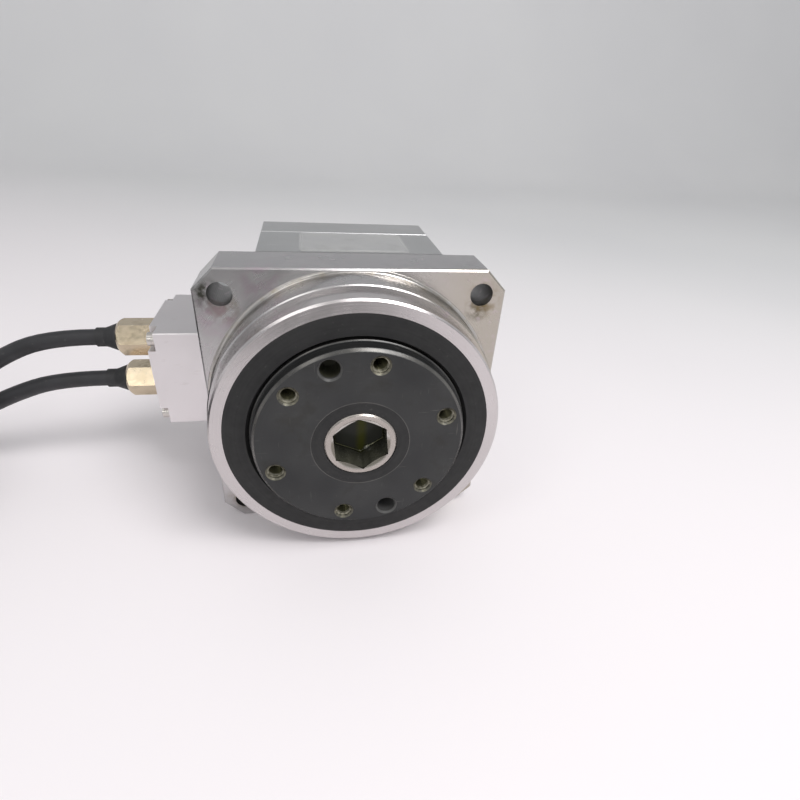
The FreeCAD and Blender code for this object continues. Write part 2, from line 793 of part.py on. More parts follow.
def make_output_flange():
    seal_bore = "center_seal_dia / 2"
    bearing_bore = "(front_bearing_dia / 2 + seat_gap)"
    body = turned("output_flange", [
        (seal_bore, OUTPUT_FACE), (f"{OUTPUT} - output_edge", OUTPUT_FACE),
        (OUTPUT, f"{OUTPUT_FACE} + output_edge"), (OUTPUT, DISC_BACK),
        (HUB, DISC_BACK), (HUB, HUB_BACK), (bearing_bore, HUB_BACK),
        (bearing_bore, FRONT_BEARING), ("center_rib_dia / 2", FRONT_BEARING),
        ("center_rib_dia / 2", CENTER_SEAL_BACK), (seal_bore, CENTER_SEAL_BACK),
    ])
    countersunk_holes(body, "output_hole", "output_holes")
    countersunk_holes(body, "dowel", "dowel_holes")
    depth = f"({HUB_BACK} - output_screw_reach - thread_end)"
    hole = pocket_y(body, depth, HUB_BACK, circles([OUTPUT_SCREW], tapped("large_screw")))
    polar(body, [hole], "output_screws")


# Strain wave gear

FLEX_ROOT = "(flex_radius - tooth_height / 2)"
FLEX_BORE = f"({FLEX_ROOT} - flex_wall)"
RACE_OUTSIDE = f"({FLEX_BORE} - seat_gap)"
BALL_OUTSIDE = f"({RACE_OUTSIDE} - outer_race_wall)"
BALL_INSIDE = f"({BALL_OUTSIDE} - wave_ball_space)"
CAM_OUTSIDE = f"({BALL_INSIDE} - inner_race_wall)"
Y_AXIS = FreeCAD.Vector(0, 1, 0)


def wave_wire(radius, level, wave):
    """Ellipse across the output axis, its long axis upright."""
    centre = FreeCAD.Vector(0, level, 0)
    if wave < TOUCH:
        return Part.Wire(Part.Circle(centre, Y_AXIS, radius).toShape())
    long_end = FreeCAD.Vector(0, level, radius + wave)
    short_end = FreeCAD.Vector(radius - wave, level, 0)
    return Part.Wire(Part.Ellipse(long_end, short_end, centre).toShape())


def tube_between(outer, inner, length):
    """Straight tube along Y between two closed wires at one level."""
    return Part.Face(outer).extrude(Y_AXIS * length).cut(Part.Face(inner).extrude(Y_AXIS * length))


def tooth_wire(count, place, play, level):
    """Closed outline of straight-flanked teeth; place gives each tooth's middle and its way out."""
    tip = size("tooth_tip") - play
    root = size("tooth_root") - play
    points = []
    for number in range(count):
        middle, outward = place(number)
        along = Y_AXIS.cross(middle).normalize()
        for side, height in ((-root, -0.5), (-tip, 0.5), (tip, 0.5), (root, -0.5)):
            rise = outward * (height * size("tooth_height"))
            points.append(middle + along * (side / 2) + rise + Y_AXIS * level)
    return Part.makePolygon(points + points[:1])


def flex_tooth(number):
    """A flexspline tooth, carried out and back by the wave."""
    angle = 2 * math.pi * number / int(size("flex_teeth"))
    wave = size(WAVE)
    radius = size("flex_radius") + wave * math.cos(2 * angle)
    turned_to = angle - wave / (2 * size("flex_radius")) * math.sin(2 * angle)
    outward = FreeCAD.Vector(math.sin(turned_to), 0, math.cos(turned_to))
    return outward * radius, outward


def spline_tooth(number):
    """A tooth of the circular spline, half a pitch off so that the flexspline's teeth fall between."""
    angle = 2 * math.pi * (number + 0.5) / int(size("flex_teeth + tooth_difference"))
    outward = FreeCAD.Vector(math.sin(angle), 0, math.cos(angle))
    return outward * size(SPLINE_RADIUS), outward * -1


def make_flexspline():
    """Silk hat: a toothed open end, a thin wall that turns round again, a diaphragm and a brim."""
    wave = size(WAVE)
    front = size(FLEX_FRONT)
    teeth_back = size("spline_back")
    along = Y_AXIS * (teeth_back - front)
    teeth = tooth_wire(int(size("flex_teeth")), flex_tooth, size("tooth_play"), front)
    bore = wave_wire(size(FLEX_BORE), front, wave)
    seat = size("brim_seat")
    sheet_front = size("brim_seat + diaphragm_lift")
    sheet_back = sheet_front + size("flex_diaphragm")
    brim_inner = size(BRIM_INNER)
    brim_outer = size(BRIM)

    def wall(radius):
        sections = [wave_wire(radius, teeth_back, wave), wave_wire(radius, sheet_back, 0)]
        return Part.makeLoft(sections, True, True)
    section = [
        (0, sheet_front), (brim_inner, sheet_front), (brim_inner, seat), (brim_outer, seat),
        (brim_outer, size(BRIM_BACK)), (brim_inner, size(BRIM_BACK)), (brim_inner, sheet_back),
        (0, sheet_back),
    ]
    corners = [FreeCAD.Vector(radius, level, 0) for radius, level in section]
    half_section = Part.Face(Part.makePolygon(corners + corners[:1]))
    brim = half_section.revolve(FreeCAD.Vector(), Y_AXIS, 360)
    outside = Part.Face(teeth).extrude(along).fuse([wall(size(FLEX_ROOT)), brim])
    cuts = [Part.Face(bore).extrude(along), wall(size(FLEX_BORE))]
    across, up = BRIM_SCREW
    start = FreeCAD.Vector(size(across), seat, size(up))
    hole_radius = size("small_screw + head_room") / 2
    for number in range(int(size("brim_screws"))):
        hole = Part.makeCylinder(hole_radius, size("brim_thickness"), start, Y_AXIS)
        hole.rotate(FreeCAD.Vector(), Y_AXIS, 360 * number / size("brim_screws"))
        cuts.append(hole)
    shaped("flexspline", outside.cut(cuts).Solids[0])


def make_circular_spline():
    body = turned("spline_blank", [
        ("0", HUB_BACK), (HUB, HUB_BACK), (HUB, INNER_BACK), (COLLAR, INNER_BACK),
        (COLLAR, "spline_back"), ("0", "spline_back"),
    ])
    shank = pocket_y(body, HUB_BACK, "0", circles([OUTPUT_SCREW], "large_screw + head_room"))
    head = pocket_y(body, "0", "spline_back", circles([OUTPUT_SCREW], "large_head + head_room"))
    polar(body, [shank, head], "output_screws")
    subparts.remove(body)
    count = int(size("flex_teeth + tooth_difference"))
    level = size(f"{HUB_BACK} - cut_past")
    tool = doc.addObject("Part::Feature", "spline_tooth_space")
    profile = Part.Face(tooth_wire(count, spline_tooth, 0, level))
    tool.Shape = profile.extrude(Y_AXIS * (size("spline_back + cut_past") - level))
    cut = doc.addObject("Part::Cut", "circular_spline")
    cut.Label = "circular_spline"
    cut.Base = body
    cut.Tool = tool
    subparts.append(cut)


def make_wave_generator():
    """Oval cam with its thin ball bearing: inner race, balls in their cage and outer race."""
    layers = [
        ("wave_generator_cam", "(shaft_dia / 2 + seat_gap)", f"({CAM_OUTSIDE} - seat_gap)"),
        ("wave_bearing_inner_race", CAM_OUTSIDE, BALL_INSIDE),
        ("wave_bearing_balls", f"({BALL_INSIDE} + seat_gap)", f"({BALL_OUTSIDE} - seat_gap)"),
        ("wave_bearing_outer_race", BALL_OUTSIDE, RACE_OUTSIDE),
    ]
    front = size(FLEX_FRONT)
    for name, inside, outside in layers:
        bore_wave = 0 if name == "wave_generator_cam" else size(WAVE)
        bore = wave_wire(size(inside), front, bore_wave)
        rim = wave_wire(size(outside), front, size(WAVE))
        shaped(name, tube_between(rim, bore, size("flex_face")))


def make_screws():
    """Screws of the bearing's outer ring, the output flange, the flexspline and the housing."""
    ring_reach = f"{RING_SCREW_SEAT} - {RING_BACK} + ring_screw_reach - thread_end"
    cap_screws("outer_ring_screws", [RING_SCREW], RING_SCREW_SEAT, ring_reach, "small", "ring_screws")
    output_reach = f"output_screw_reach - {HUB_BACK}"
    cap_screws("output_screws", [OUTPUT_SCREW], "0", output_reach, "large", "output_screws")
    brim_reach = "brim_thickness + brim_screw_reach"
    cap_screws("flexspline_screws", [BRIM_SCREW], BRIM_BACK, brim_reach, "small", "brim_screws")
    seat = f"({COVER_BACK} - large_screw - head_room)"
    reach = f"{seat} - flange_thickness + housing_screw_reach"
    cap_screws("housing_screws", HOUSING_SCREWS, seat, reach, "large")


# Rotor, ball bearings, motor and encoder

def make_rotor_shaft():
    shoulder = "shaft_dia / 2"
    end = f"({DISC_SEAT} + encoder_disc_thickness)"
    body = turned("rotor_shaft", [
        ("0", SHAFT_FRONT), ("sleeve_dia / 2 - sleeve_edge", SHAFT_FRONT),
        ("sleeve_dia / 2", f"{SHAFT_FRONT} + sleeve_edge"), ("sleeve_dia / 2", FRONT_BEARING),
        (shoulder, FRONT_BEARING), (shoulder, REAR_BEARING), ("tail_dia / 2", REAR_BEARING),
        ("tail_dia / 2", HUB_SEAT), ("encoder_seat_dia / 2", HUB_SEAT),
        ("encoder_seat_dia / 2", end), ("0", end),
    ])
    socket_end = f"({SHAFT_FRONT} + hex_depth)"
    pocket_y(body, SHAFT_FRONT, socket_end, outline(hexagon("hex_across", "hex_angle")))
    mouth = f"({SHAFT_FRONT} + hex_lead)"
    add_turn(body, [
        ("0", SHAFT_FRONT), ("hex_across / sqrt(3)", SHAFT_FRONT), ("hex_across / 2", mouth),
        ("0", mouth),
    ], "PartDesign::Groove")


def make_ball_bearing(name, shaft, outside, front):
    """Shielded ball bearing: two rings and the cage with its balls between them."""
    inner = f"({shaft} / 2 + seat_gap)"
    outer = f"({outside} / 2)"
    back = f"({front} + bearing_width)"
    turned(name + "_inner_ring", ring_section(inner, f"{inner} + bearing_ring", front, back))
    turned(name + "_outer_ring", ring_section(f"{outer} - bearing_ring", outer, front, back))
    middle = f"({front} + bearing_width / 2)"
    cage = ring_section(
        f"{inner} + bearing_ring + cage_gap", f"{outer} - bearing_ring - cage_gap",
        f"{middle} - cage_width / 2", f"{middle} + cage_width / 2",
    )
    turned(name + "_balls", cage)


def make_rotor():
    bore = "(shaft_dia / 2 + seat_gap)"
    magnet_foot = "(stator_bore_dia / 2 - air_gap - magnet_height)"
    core = f"({magnet_foot} - seat_gap)"
    turned("rotor_core", ring_section(bore, core, STATOR_FRONT, STATOR_BACK))
    magnets = new_body("rotor_magnets")
    magnet_top = "(stator_bore_dia / 2 - air_gap)"
    magnet = add_turn(magnets, ring_section(magnet_foot, magnet_top, STATOR_FRONT, STATOR_BACK))
    magnet.setExpression("Angle", linked("magnet_arc"))
    magnet.Midplane = True
    polar(magnets, [magnet], "magnets")
    sleeve = f"({bore} + sleeve_wall)"
    bearing_back = f"({FRONT_BEARING} + bearing_width)"
    turned("front_spacer", ring_section(bore, f"{bore} + bearing_ring", bearing_back, FLEX_FRONT))
    turned("middle_spacer", ring_section(bore, sleeve, "spline_back", STATOR_FRONT))
    turned("rear_spacer", ring_section(bore, sleeve, STATOR_BACK, f"({WALL_FRONT} - rear_lip)"))


def make_stator():
    body = turned("stator_core", ring_section(YOKE_INNER, YOKE_OUTER, STATOR_FRONT, STATOR_BACK))
    bore = "(stator_bore_dia / 2)"
    neck = f"({bore} + shoe_height)"
    top = f"({YOKE_INNER} + stator_yoke / 2)"
    tooth = pad_y(body, STATOR_FRONT, STATOR_BACK, outline([
        ("-shoe_width / 2", f"{bore} + shoe_edge"), ("0", bore),
        ("shoe_width / 2", f"{bore} + shoe_edge"),
        ("shoe_width / 2", neck), ("tooth_width / 2", neck), ("tooth_width / 2", top),
        ("-tooth_width / 2", top), ("-tooth_width / 2", neck), ("-shoe_width / 2", neck),
    ]))
    polar(body, [tooth], "stator_teeth")
    coils = new_body("stator_windings")
    sketch = new_sketch(coils, "XY_Plane", COIL_FOOT)
    hole = "(tooth_width / 2 + seat_gap)"
    side = f"({hole} + coil_side)"
    ends = (f"({STATOR_FRONT} - seat_gap)", f"({STATOR_BACK} + seat_gap)")
    reach = (f"({STATOR_FRONT} - coil_overhang)", f"({STATOR_BACK} + coil_overhang)")
    draw_outline(sketch, rectangle(f"-{side}", side, *reach))
    draw_outline(sketch, rectangle(f"-{hole}", hole, *ends))
    coil = extrude(coils, "PartDesign::Pad", sketch, "coil_height")
    polar(coils, [coil], "stator_teeth")


def make_encoder():
    bore = "(encoder_seat_dia / 2 + seat_gap)"
    turned("encoder_hub", ring_section(bore, "encoder_hub_dia / 2", HUB_SEAT, DISC_SEAT))
    disc_back = f"({DISC_SEAT} + encoder_disc_thickness)"
    turned("encoder_disc", ring_section(bore, "encoder_disc_dia / 2", DISC_SEAT, disc_back))
    board = new_body("encoder_board")
    board_back = f"({BOARD_FRONT} + board_thickness)"
    pad_y(board, BOARD_FRONT, board_back, circles([("0", "0")], "board_dia"))
    hole = pocket_y(board, BOARD_FRONT, board_back, circles([BOARD_POST], "small_screw + head_room"))
    polar(board, [hole], "board_posts")
    reader = new_body("encoder_reader")
    half = "(reader_side / 2)"
    low = "(encoder_disc_dia / 2 - reader_inset)"
    window = outline(rectangle(f"-{half}", half, f"-{low} - reader_side", f"-{low}"))
    pad_y(reader, f"({BOARD_FRONT} - reader_height)", BOARD_FRONT, window)
    reach = "2 * small_screw + board_thickness"
    cap_screws("board_screws", [BOARD_POST], board_back, reach, "small", "board_posts")


# Cable box, glands and leads

BOX_SCREW_INSET = "(box_notch / 2)"
BOX_SCREW_FRONT = f"({BOX_FRONT} + {BOX_SCREW_INSET})"
BOX_SCREW_BACK = f"({BOX_BACK} - {BOX_SCREW_INSET})"


def box_screw_places():
    high = f"(box_height / 2 - {BOX_SCREW_INSET})"
    return [(y, z) for y in (BOX_SCREW_FRONT, BOX_SCREW_BACK) for z in (high, f"(-{high})")]


def gland_place(side):
    return GLAND_Y, f"({side} * gland_spacing / 2)"


def make_cable_box():
    body = new_body("cable_box")
    top = "(box_height / 2)"
    low = "(-box_height / 2)"
    pad_x(body, BOX_FACE, BOX_INNER, outline(rectangle(BOX_FRONT, BOX_BACK, low, top)))
    chamfer(body, along_x, "box_edge")
    notch_floor = f"({BOX_FACE} + box_notch_depth)"
    front_and_back = ((BOX_FRONT, f"({BOX_FRONT} + box_notch)"), (f"({BOX_BACK} - box_notch)", BOX_BACK))
    low_and_high = ((low, f"({low} + box_notch)"), (f"({top} - box_notch)", top))
    for front, back in front_and_back:
        for bottom, upper in low_and_high:
            pocket_x(body, BOX_FACE, notch_floor, outline(rectangle(front, back, bottom, upper)))
    cavity_end = f"({BOX_FACE} + box_wall)"
    inset = "(box_notch + seat_gap)"
    wide = rectangle(
        f"({BOX_FRONT} + box_wall)", f"({BOX_BACK} - box_wall)",
        f"({low} + {inset})", f"({top} - {inset})",
    )
    tall = rectangle(
        f"({BOX_FRONT} + {inset})", f"({BOX_BACK} - {inset})",
        f"({low} + box_wall)", f"({top} - box_wall)",
    )
    for hollow in (wide, tall):
        pocket_x(body, cavity_end, BOX_INNER, outline(hollow))
    glands = [gland_place(1), gland_place(-1)]
    pocket_x(body, BOX_FACE, cavity_end, circles(glands, tapped("gland_thread_dia")))
    pocket_x(body, BOX_FACE, BOX_INNER, circles(box_screw_places(), "small_screw + head_room"))
    gasket = new_body("box_gasket")
    pad_x(gasket, BOX_INNER, BODY_SIDE, outline(rectangle(BOX_FRONT, BOX_BACK, low, top)))
    window = rectangle(
        f"({BOX_FRONT} + gasket_rim + box_notch)", f"({BOX_BACK} - gasket_rim - box_notch)",
        f"({low} + gasket_rim)", f"({top} - gasket_rim)",
    )
    pocket_x(gasket, BOX_INNER, BODY_SIDE, outline(window))
    pocket_x(gasket, BOX_INNER, BODY_SIDE, circles(box_screw_places(), "small_screw + head_room"))


def make_box_screws():
    body = new_body("box_screws")
    seat = f"({BOX_FACE} + box_notch_depth)"
    head = f"({seat} - small_screw)"
    end = f"({BODY_SIDE} + box_screw_reach)"
    pad_x(body, seat, end, circles(box_screw_places(), "small_screw"))
    pad_x(body, head, seat, circles(box_screw_places(), "small_head"))
    for place in box_screw_places():
        socket = outline(hexagon("small_key", "0", place))
        pocket_x(body, head, f"({head} + small_screw / 2)", socket)


def make_gland(lead, side):
    """Cable gland: a body screwed into the box, a cap nut and the rubber boot round the cable."""
    place = gland_place(side)
    gland = new_body(lead + "_gland_body")
    inside = f"({BOX_FACE} + gland_inside)"
    pad_x(gland, BOX_FACE, inside, circles([place], "gland_thread_dia"))
    pad_x(gland, NUT_SEAT, BOX_FACE, circles([place], "gland_collar_dia"))
    pad_x(gland, f"({NUT_SEAT} - gland_stub)", NUT_SEAT, circles([place], "gland_stub_dia"))
    nut = turned(lead + "_gland_nut", [
        ("0", "0"), ("gland_across / sqrt(3)", "0"),
        ("gland_across / sqrt(3)", "gland_nut - gland_nut_edge"),
        ("gland_across / sqrt(3) - gland_nut_edge", "gland_nut"), ("0", "gland_nut"),
    ])
    flats = new_sketch(nut, "XZ_Plane")
    draw_circle(flats, "0", "0", "2 * gland_across")
    draw_outline(flats, hexagon("gland_across", "30"))
    extrude(nut, "PartDesign::Pocket", flats, "gland_nut")
    hole = new_sketch(nut, "XZ_Plane")
    draw_circle(hole, "0", "0", tapped("gland_stub_dia"))
    extrude(nut, "PartDesign::Pocket", hole, "gland_stub + thread_end")
    lay_along_left(nut, NUT_SEAT, place)
    boot = turned(lead + "_gland_boot", [
        ("0", "0"), ("boot_base_dia / 2", "0"), ("boot_base_dia / 2", "boot_band"),
        ("boot_end_dia / 2", "boot_taper"), ("boot_end_dia / 2", "boot_length"), ("0", "boot_length"),
    ])
    lay_along_left(boot, NUT_END, place)


def lay_along_left(body, start, place):
    """Turn a piece drawn along +Y to run along -X from a start."""
    body.Placement.Rotation = FreeCAD.Rotation(FreeCAD.Vector(0, 0, 1), 90)
    for axis, text in zip("xyz", (start, *place)):
        body.setExpression(f"Placement.Base.{axis}", linked(text))


def rounded_path(points):
    """Straight runs joined by tangent arcs, each arc as large as its two runs allow."""
    share = 0.45
    edges = []
    radii = []
    start = points[0]
    for before, corner, after in zip(points, points[1:], points[2:]):
        arriving = (corner - before).normalize()
        leaving = (after - corner).normalize()
        half_turn = arriving.getAngle(leaving) / 2
        trim = share * min((corner - before).Length, (after - corner).Length)
        radii.append(trim / math.tan(half_turn))
        arc_start = corner - arriving * trim
        arc_end = corner + leaving * trim
        inward = (leaving - arriving).normalize()
        depth = radii[-1] * (1 / math.cos(half_turn) - 1)
        edges.append(Part.LineSegment(start, arc_start).toShape())
        edges.append(Part.Arc(arc_start, corner + inward * depth, arc_end).toShape())
        start = arc_end
    edges.append(Part.LineSegment(start, points[-1]).toShape())
    return Part.Wire(edges), radii


def make_cable(lead, route):
    """Free stretch of a lead, from its boot to its coil."""
    points = [FreeCAD.Vector(*point) for point in route]
    path, radii = rounded_path(points)
    radius = size("cable_dia / 2")
    profile = Part.Wire(Part.Circle(points[0], points[1] - points[0], radius).toShape())
    tube = path.makePipeShell([profile], True, True)
    expected = math.pi * radius**2 * path.Length
    bends = " ".join(f"{value:.0f}" for value in radii)
    print(f"{lead}_cable: length {path.Length:.1f}, bend radii {bends}")
    print(f"{lead}_cable: volume over section times length {tube.Volume / expected:.4f}")
    shaped(lead + "_cable", tube)


COIL_HEIGHT = "(coil_layers * coil_pitch)"
COIL_OUTER = "(coil_mean_dia / 2 + cable_dia)"
COIL_INNER = "(coil_mean_dia / 2 - cable_dia)"


def make_coil(lead, level):
    """Put-away length of a lead, wound two turns wide and three high."""
    top = f"({level} + {COIL_HEIGHT})"
    edge = "(cable_dia / 3)"
    body = turned(lead + "_cable_coil", [
        (f"{COIL_INNER} + {edge}", level), (f"{COIL_OUTER} - {edge}", level),
        (COIL_OUTER, f"{level} + {edge}"), (COIL_OUTER, f"{top} - {edge}"),
        (f"{COIL_OUTER} - {edge}", top), (f"{COIL_INNER} + {edge}", top),
        (COIL_INNER, f"{top} - {edge}"), (COIL_INNER, f"{level} + {edge}"),
    ], plane="XZ_Plane")
    body.setExpression("Placement.Base.x", linked("coil_x"))
    body.setExpression("Placement.Base.y", linked("coil_y"))


def make_connector(lead, x, low):
    """Rectangular lead connector, its cable end to the rear."""
    body = new_body(lead + "_connector")
    middle = f"({low} + connector_height / 2)"
    back = "(coil_y + connector_lead)"
    front = f"({back} - connector_length)"
    half = "(connector_width / 2)"
    inner = "(connector_width / 2 - connector_step)"
    top = f"({low} + connector_height)"
    shell = rectangle(f"({x} - {half})", f"({x} + {half})", low, top)
    nose = rectangle(
        f"({x} - {inner})", f"({x} + {inner})",
        f"({low} + connector_step)", f"({top} - connector_step)",
    )
    pad_y(body, front, back, outline(shell))
    pad_y(body, f"({front} - connector_nose)", front, outline(nose))
    pad_y(body, back, f"({back} + connector_tail)", circles([(x, middle)], "connector_tail_dia"))


def make_leads():
    exit_x = size(BOOT_END)
    exit_y = size(GLAND_Y)
    upper_z = size("gland_spacing / 2")
    floor = size(FLOOR)
    pitch = size("coil_pitch")
    layers = size("coil_layers")
    # Each lead leaves its gland level, sags and runs tangent into its coil
    encoder_end = floor + (layers - 0.5) * pitch
    motor_end = encoder_end + pitch
    make_cable("motor", [
        (exit_x, exit_y, upper_z), (-126, exit_y, upper_z), (-148, 46, 0.5), (-170, 46.5, -16),
        (-190, 46.2, -26.8), (-206, 46, motor_end),
    ])
    make_cable("encoder", [
        (exit_x, exit_y, -upper_z), (-126, exit_y, -upper_z), (-148, 46, -17.5), (-170, 45.5, -29),
        (-190, 45.8, -35.8), (-206, 46, encoder_end),
    ])
    make_coil("encoder", FLOOR)
    stack = f"({FLOOR} + {COIL_HEIGHT})"
    make_coil("motor", stack)
    beside = f"(coil_x - {COIL_OUTER} - connector_width / 2 - rest_gap)"
    make_connector("encoder", beside, FLOOR)
    make_connector("motor", "(coil_x - coil_mean_dia / 2)", f"({stack} + {COIL_HEIGHT})")


make_flange()
make_motor_housing()
make_rear_cover()
make_cord_rings()
make_crossed_roller_bearing()
make_rollers()
make_seals()
make_output_flange()
make_screws()
make_flexspline()
make_circular_spline()
make_wave_generator()
make_rotor_shaft()
make_ball_bearing("front_bearing", "shaft_dia", "front_bearing_dia", FRONT_BEARING)
make_ball_bearing("rear_bearing", "tail_dia", "rear_bearing_dia", REAR_BEARING)
make_rotor()
make_stator()
make_encoder()
make_cable_box()
make_box_screws()
make_gland("motor", 1)
make_gland("encoder", -1)
make_leads()

doc.recompute()
faulty = [item.Name for item in doc.Objects if {"Invalid", "Error"} & set(item.State)]
faulty += [item.Label for item in subparts if item.Shape.isNull() or not item.Shape.isValid()]
if faulty:
    raise RuntimeError("not built: " + ", ".join(faulty))
os.makedirs("parts", exist_ok=True)
for item in subparts:
    item.Shape.exportStep(f"parts/{item.Label}.step")
print(len(subparts), "sub-parts,", sum(len(item.Shape.Solids) for item in subparts), "solids")
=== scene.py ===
import json
import math

import bmesh
import bpy
from mathutils import Matrix, Vector


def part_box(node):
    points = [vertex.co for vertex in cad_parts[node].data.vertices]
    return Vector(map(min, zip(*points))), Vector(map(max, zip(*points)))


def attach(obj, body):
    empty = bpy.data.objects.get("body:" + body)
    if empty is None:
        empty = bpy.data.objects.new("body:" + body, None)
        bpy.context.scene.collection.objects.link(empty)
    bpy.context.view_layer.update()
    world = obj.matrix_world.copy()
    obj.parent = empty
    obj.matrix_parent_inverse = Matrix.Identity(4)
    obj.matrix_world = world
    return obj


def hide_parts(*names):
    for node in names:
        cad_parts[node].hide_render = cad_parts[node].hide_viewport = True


# The servo actuator on a pale floor, seen as in the photograph. Metres, in the part's own frame:
# the origin is the centre of the flange's front face, +Z is up and the output looks along -Y.

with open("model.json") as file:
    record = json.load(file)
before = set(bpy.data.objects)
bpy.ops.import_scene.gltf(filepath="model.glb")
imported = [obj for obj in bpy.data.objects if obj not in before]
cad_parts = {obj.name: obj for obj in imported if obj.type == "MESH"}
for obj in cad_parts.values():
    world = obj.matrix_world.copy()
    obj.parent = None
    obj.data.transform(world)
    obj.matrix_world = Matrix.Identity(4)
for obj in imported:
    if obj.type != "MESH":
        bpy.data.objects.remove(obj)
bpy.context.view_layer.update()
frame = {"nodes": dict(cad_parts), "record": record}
nodes = frame["nodes"]
scene = bpy.context.scene


# Places on the CAD part that looks and pieces share

MM = 0.001
mounts = {mount["name"]: mount["dims"] for mount in frame["record"]["mounts"]}
flange_low, flange_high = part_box("mounting_flange")
FLOOR_Z = flange_low.z
FLANGE_HALF = flange_high.x
HOUSING_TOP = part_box("motor_housing")[1].z
OUTPUT_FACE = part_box("output_flange")[0].y
SHAFT_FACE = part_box("rotor_shaft")[0].y
PILOT_RADIUS = MM * mounts["pilot"]["r_mm"]
MOUNT_HOLE = MM * mounts["mounting_bolts"]["spacing_x_mm"] / 2
BORE_RADIUS = MM * mounts["mounting_bolts"]["hole_r_mm"]
HOLES = mounts["output_bolts"]["count"]
HOLE_REACH = MM * mounts["output_bolts"]["pcd_mm"] / 2
HOLE_RADIUS = MM * mounts["output_bolts"]["hole_r_mm"]
HOLE_ANGLE = 10.7
DOWEL_REACH = MM * mounts["output_dowels"]["pcd_mm"] / 2
DOWEL_ANGLE = 19.3
DOWEL_X = DOWEL_REACH * math.sin(math.radians(DOWEL_ANGLE))
DOWEL_Z = DOWEL_REACH * math.cos(math.radians(DOWEL_ANGLE))
HEX_ACROSS = 0.019
HEX_ANGLE = -5.5
HEX_DEPTH = 0.0105
HEX_FLOOR = SHAFT_FACE + HEX_DEPTH


# Camera, as fitted to the photograph

CAMERA_PLACE = Vector((-0.016497, -0.168290, 0.107037))
CAMERA_AHEAD = Vector((0.17298, 0.83489, -0.52252))
CAMERA_RIGHT = Vector((0.98435, -0.16473, 0.06265))
SENSOR_WIDTH = 36.0
FOCAL_LENGTH = 22.471
NEAREST_SEEN = 0.005

camera = bpy.data.objects.new("camera", bpy.data.cameras.new("camera"))
camera.data.sensor_width = SENSOR_WIDTH
camera.data.lens = FOCAL_LENGTH
camera.data.clip_start = NEAREST_SEEN
camera_up = CAMERA_RIGHT.cross(CAMERA_AHEAD)
camera_turn = Matrix((CAMERA_RIGHT, camera_up, -CAMERA_AHEAD)).transposed()
camera.matrix_world = Matrix.Translation(CAMERA_PLACE) @ camera_turn.to_4x4()
scene.collection.objects.link(camera)
scene.camera = camera


# Materials: tones in patches, grain, wear and bump, placed by the part's own coordinates

SOCKETS = {"specular": "Specular IOR Level"}
SOFT = (0.3, 0.7)
FINER = 4
RING_DETAIL = 3.0
# A wave texture of scale 1 repeats after this length
WAVE_LENGTH = 0.314
WAVE_BEND = 0.1
GRAIN_DEPTH = 0.00004
FINE_DEPTH = 0.00002
SPAN_EDGE = 0.00005


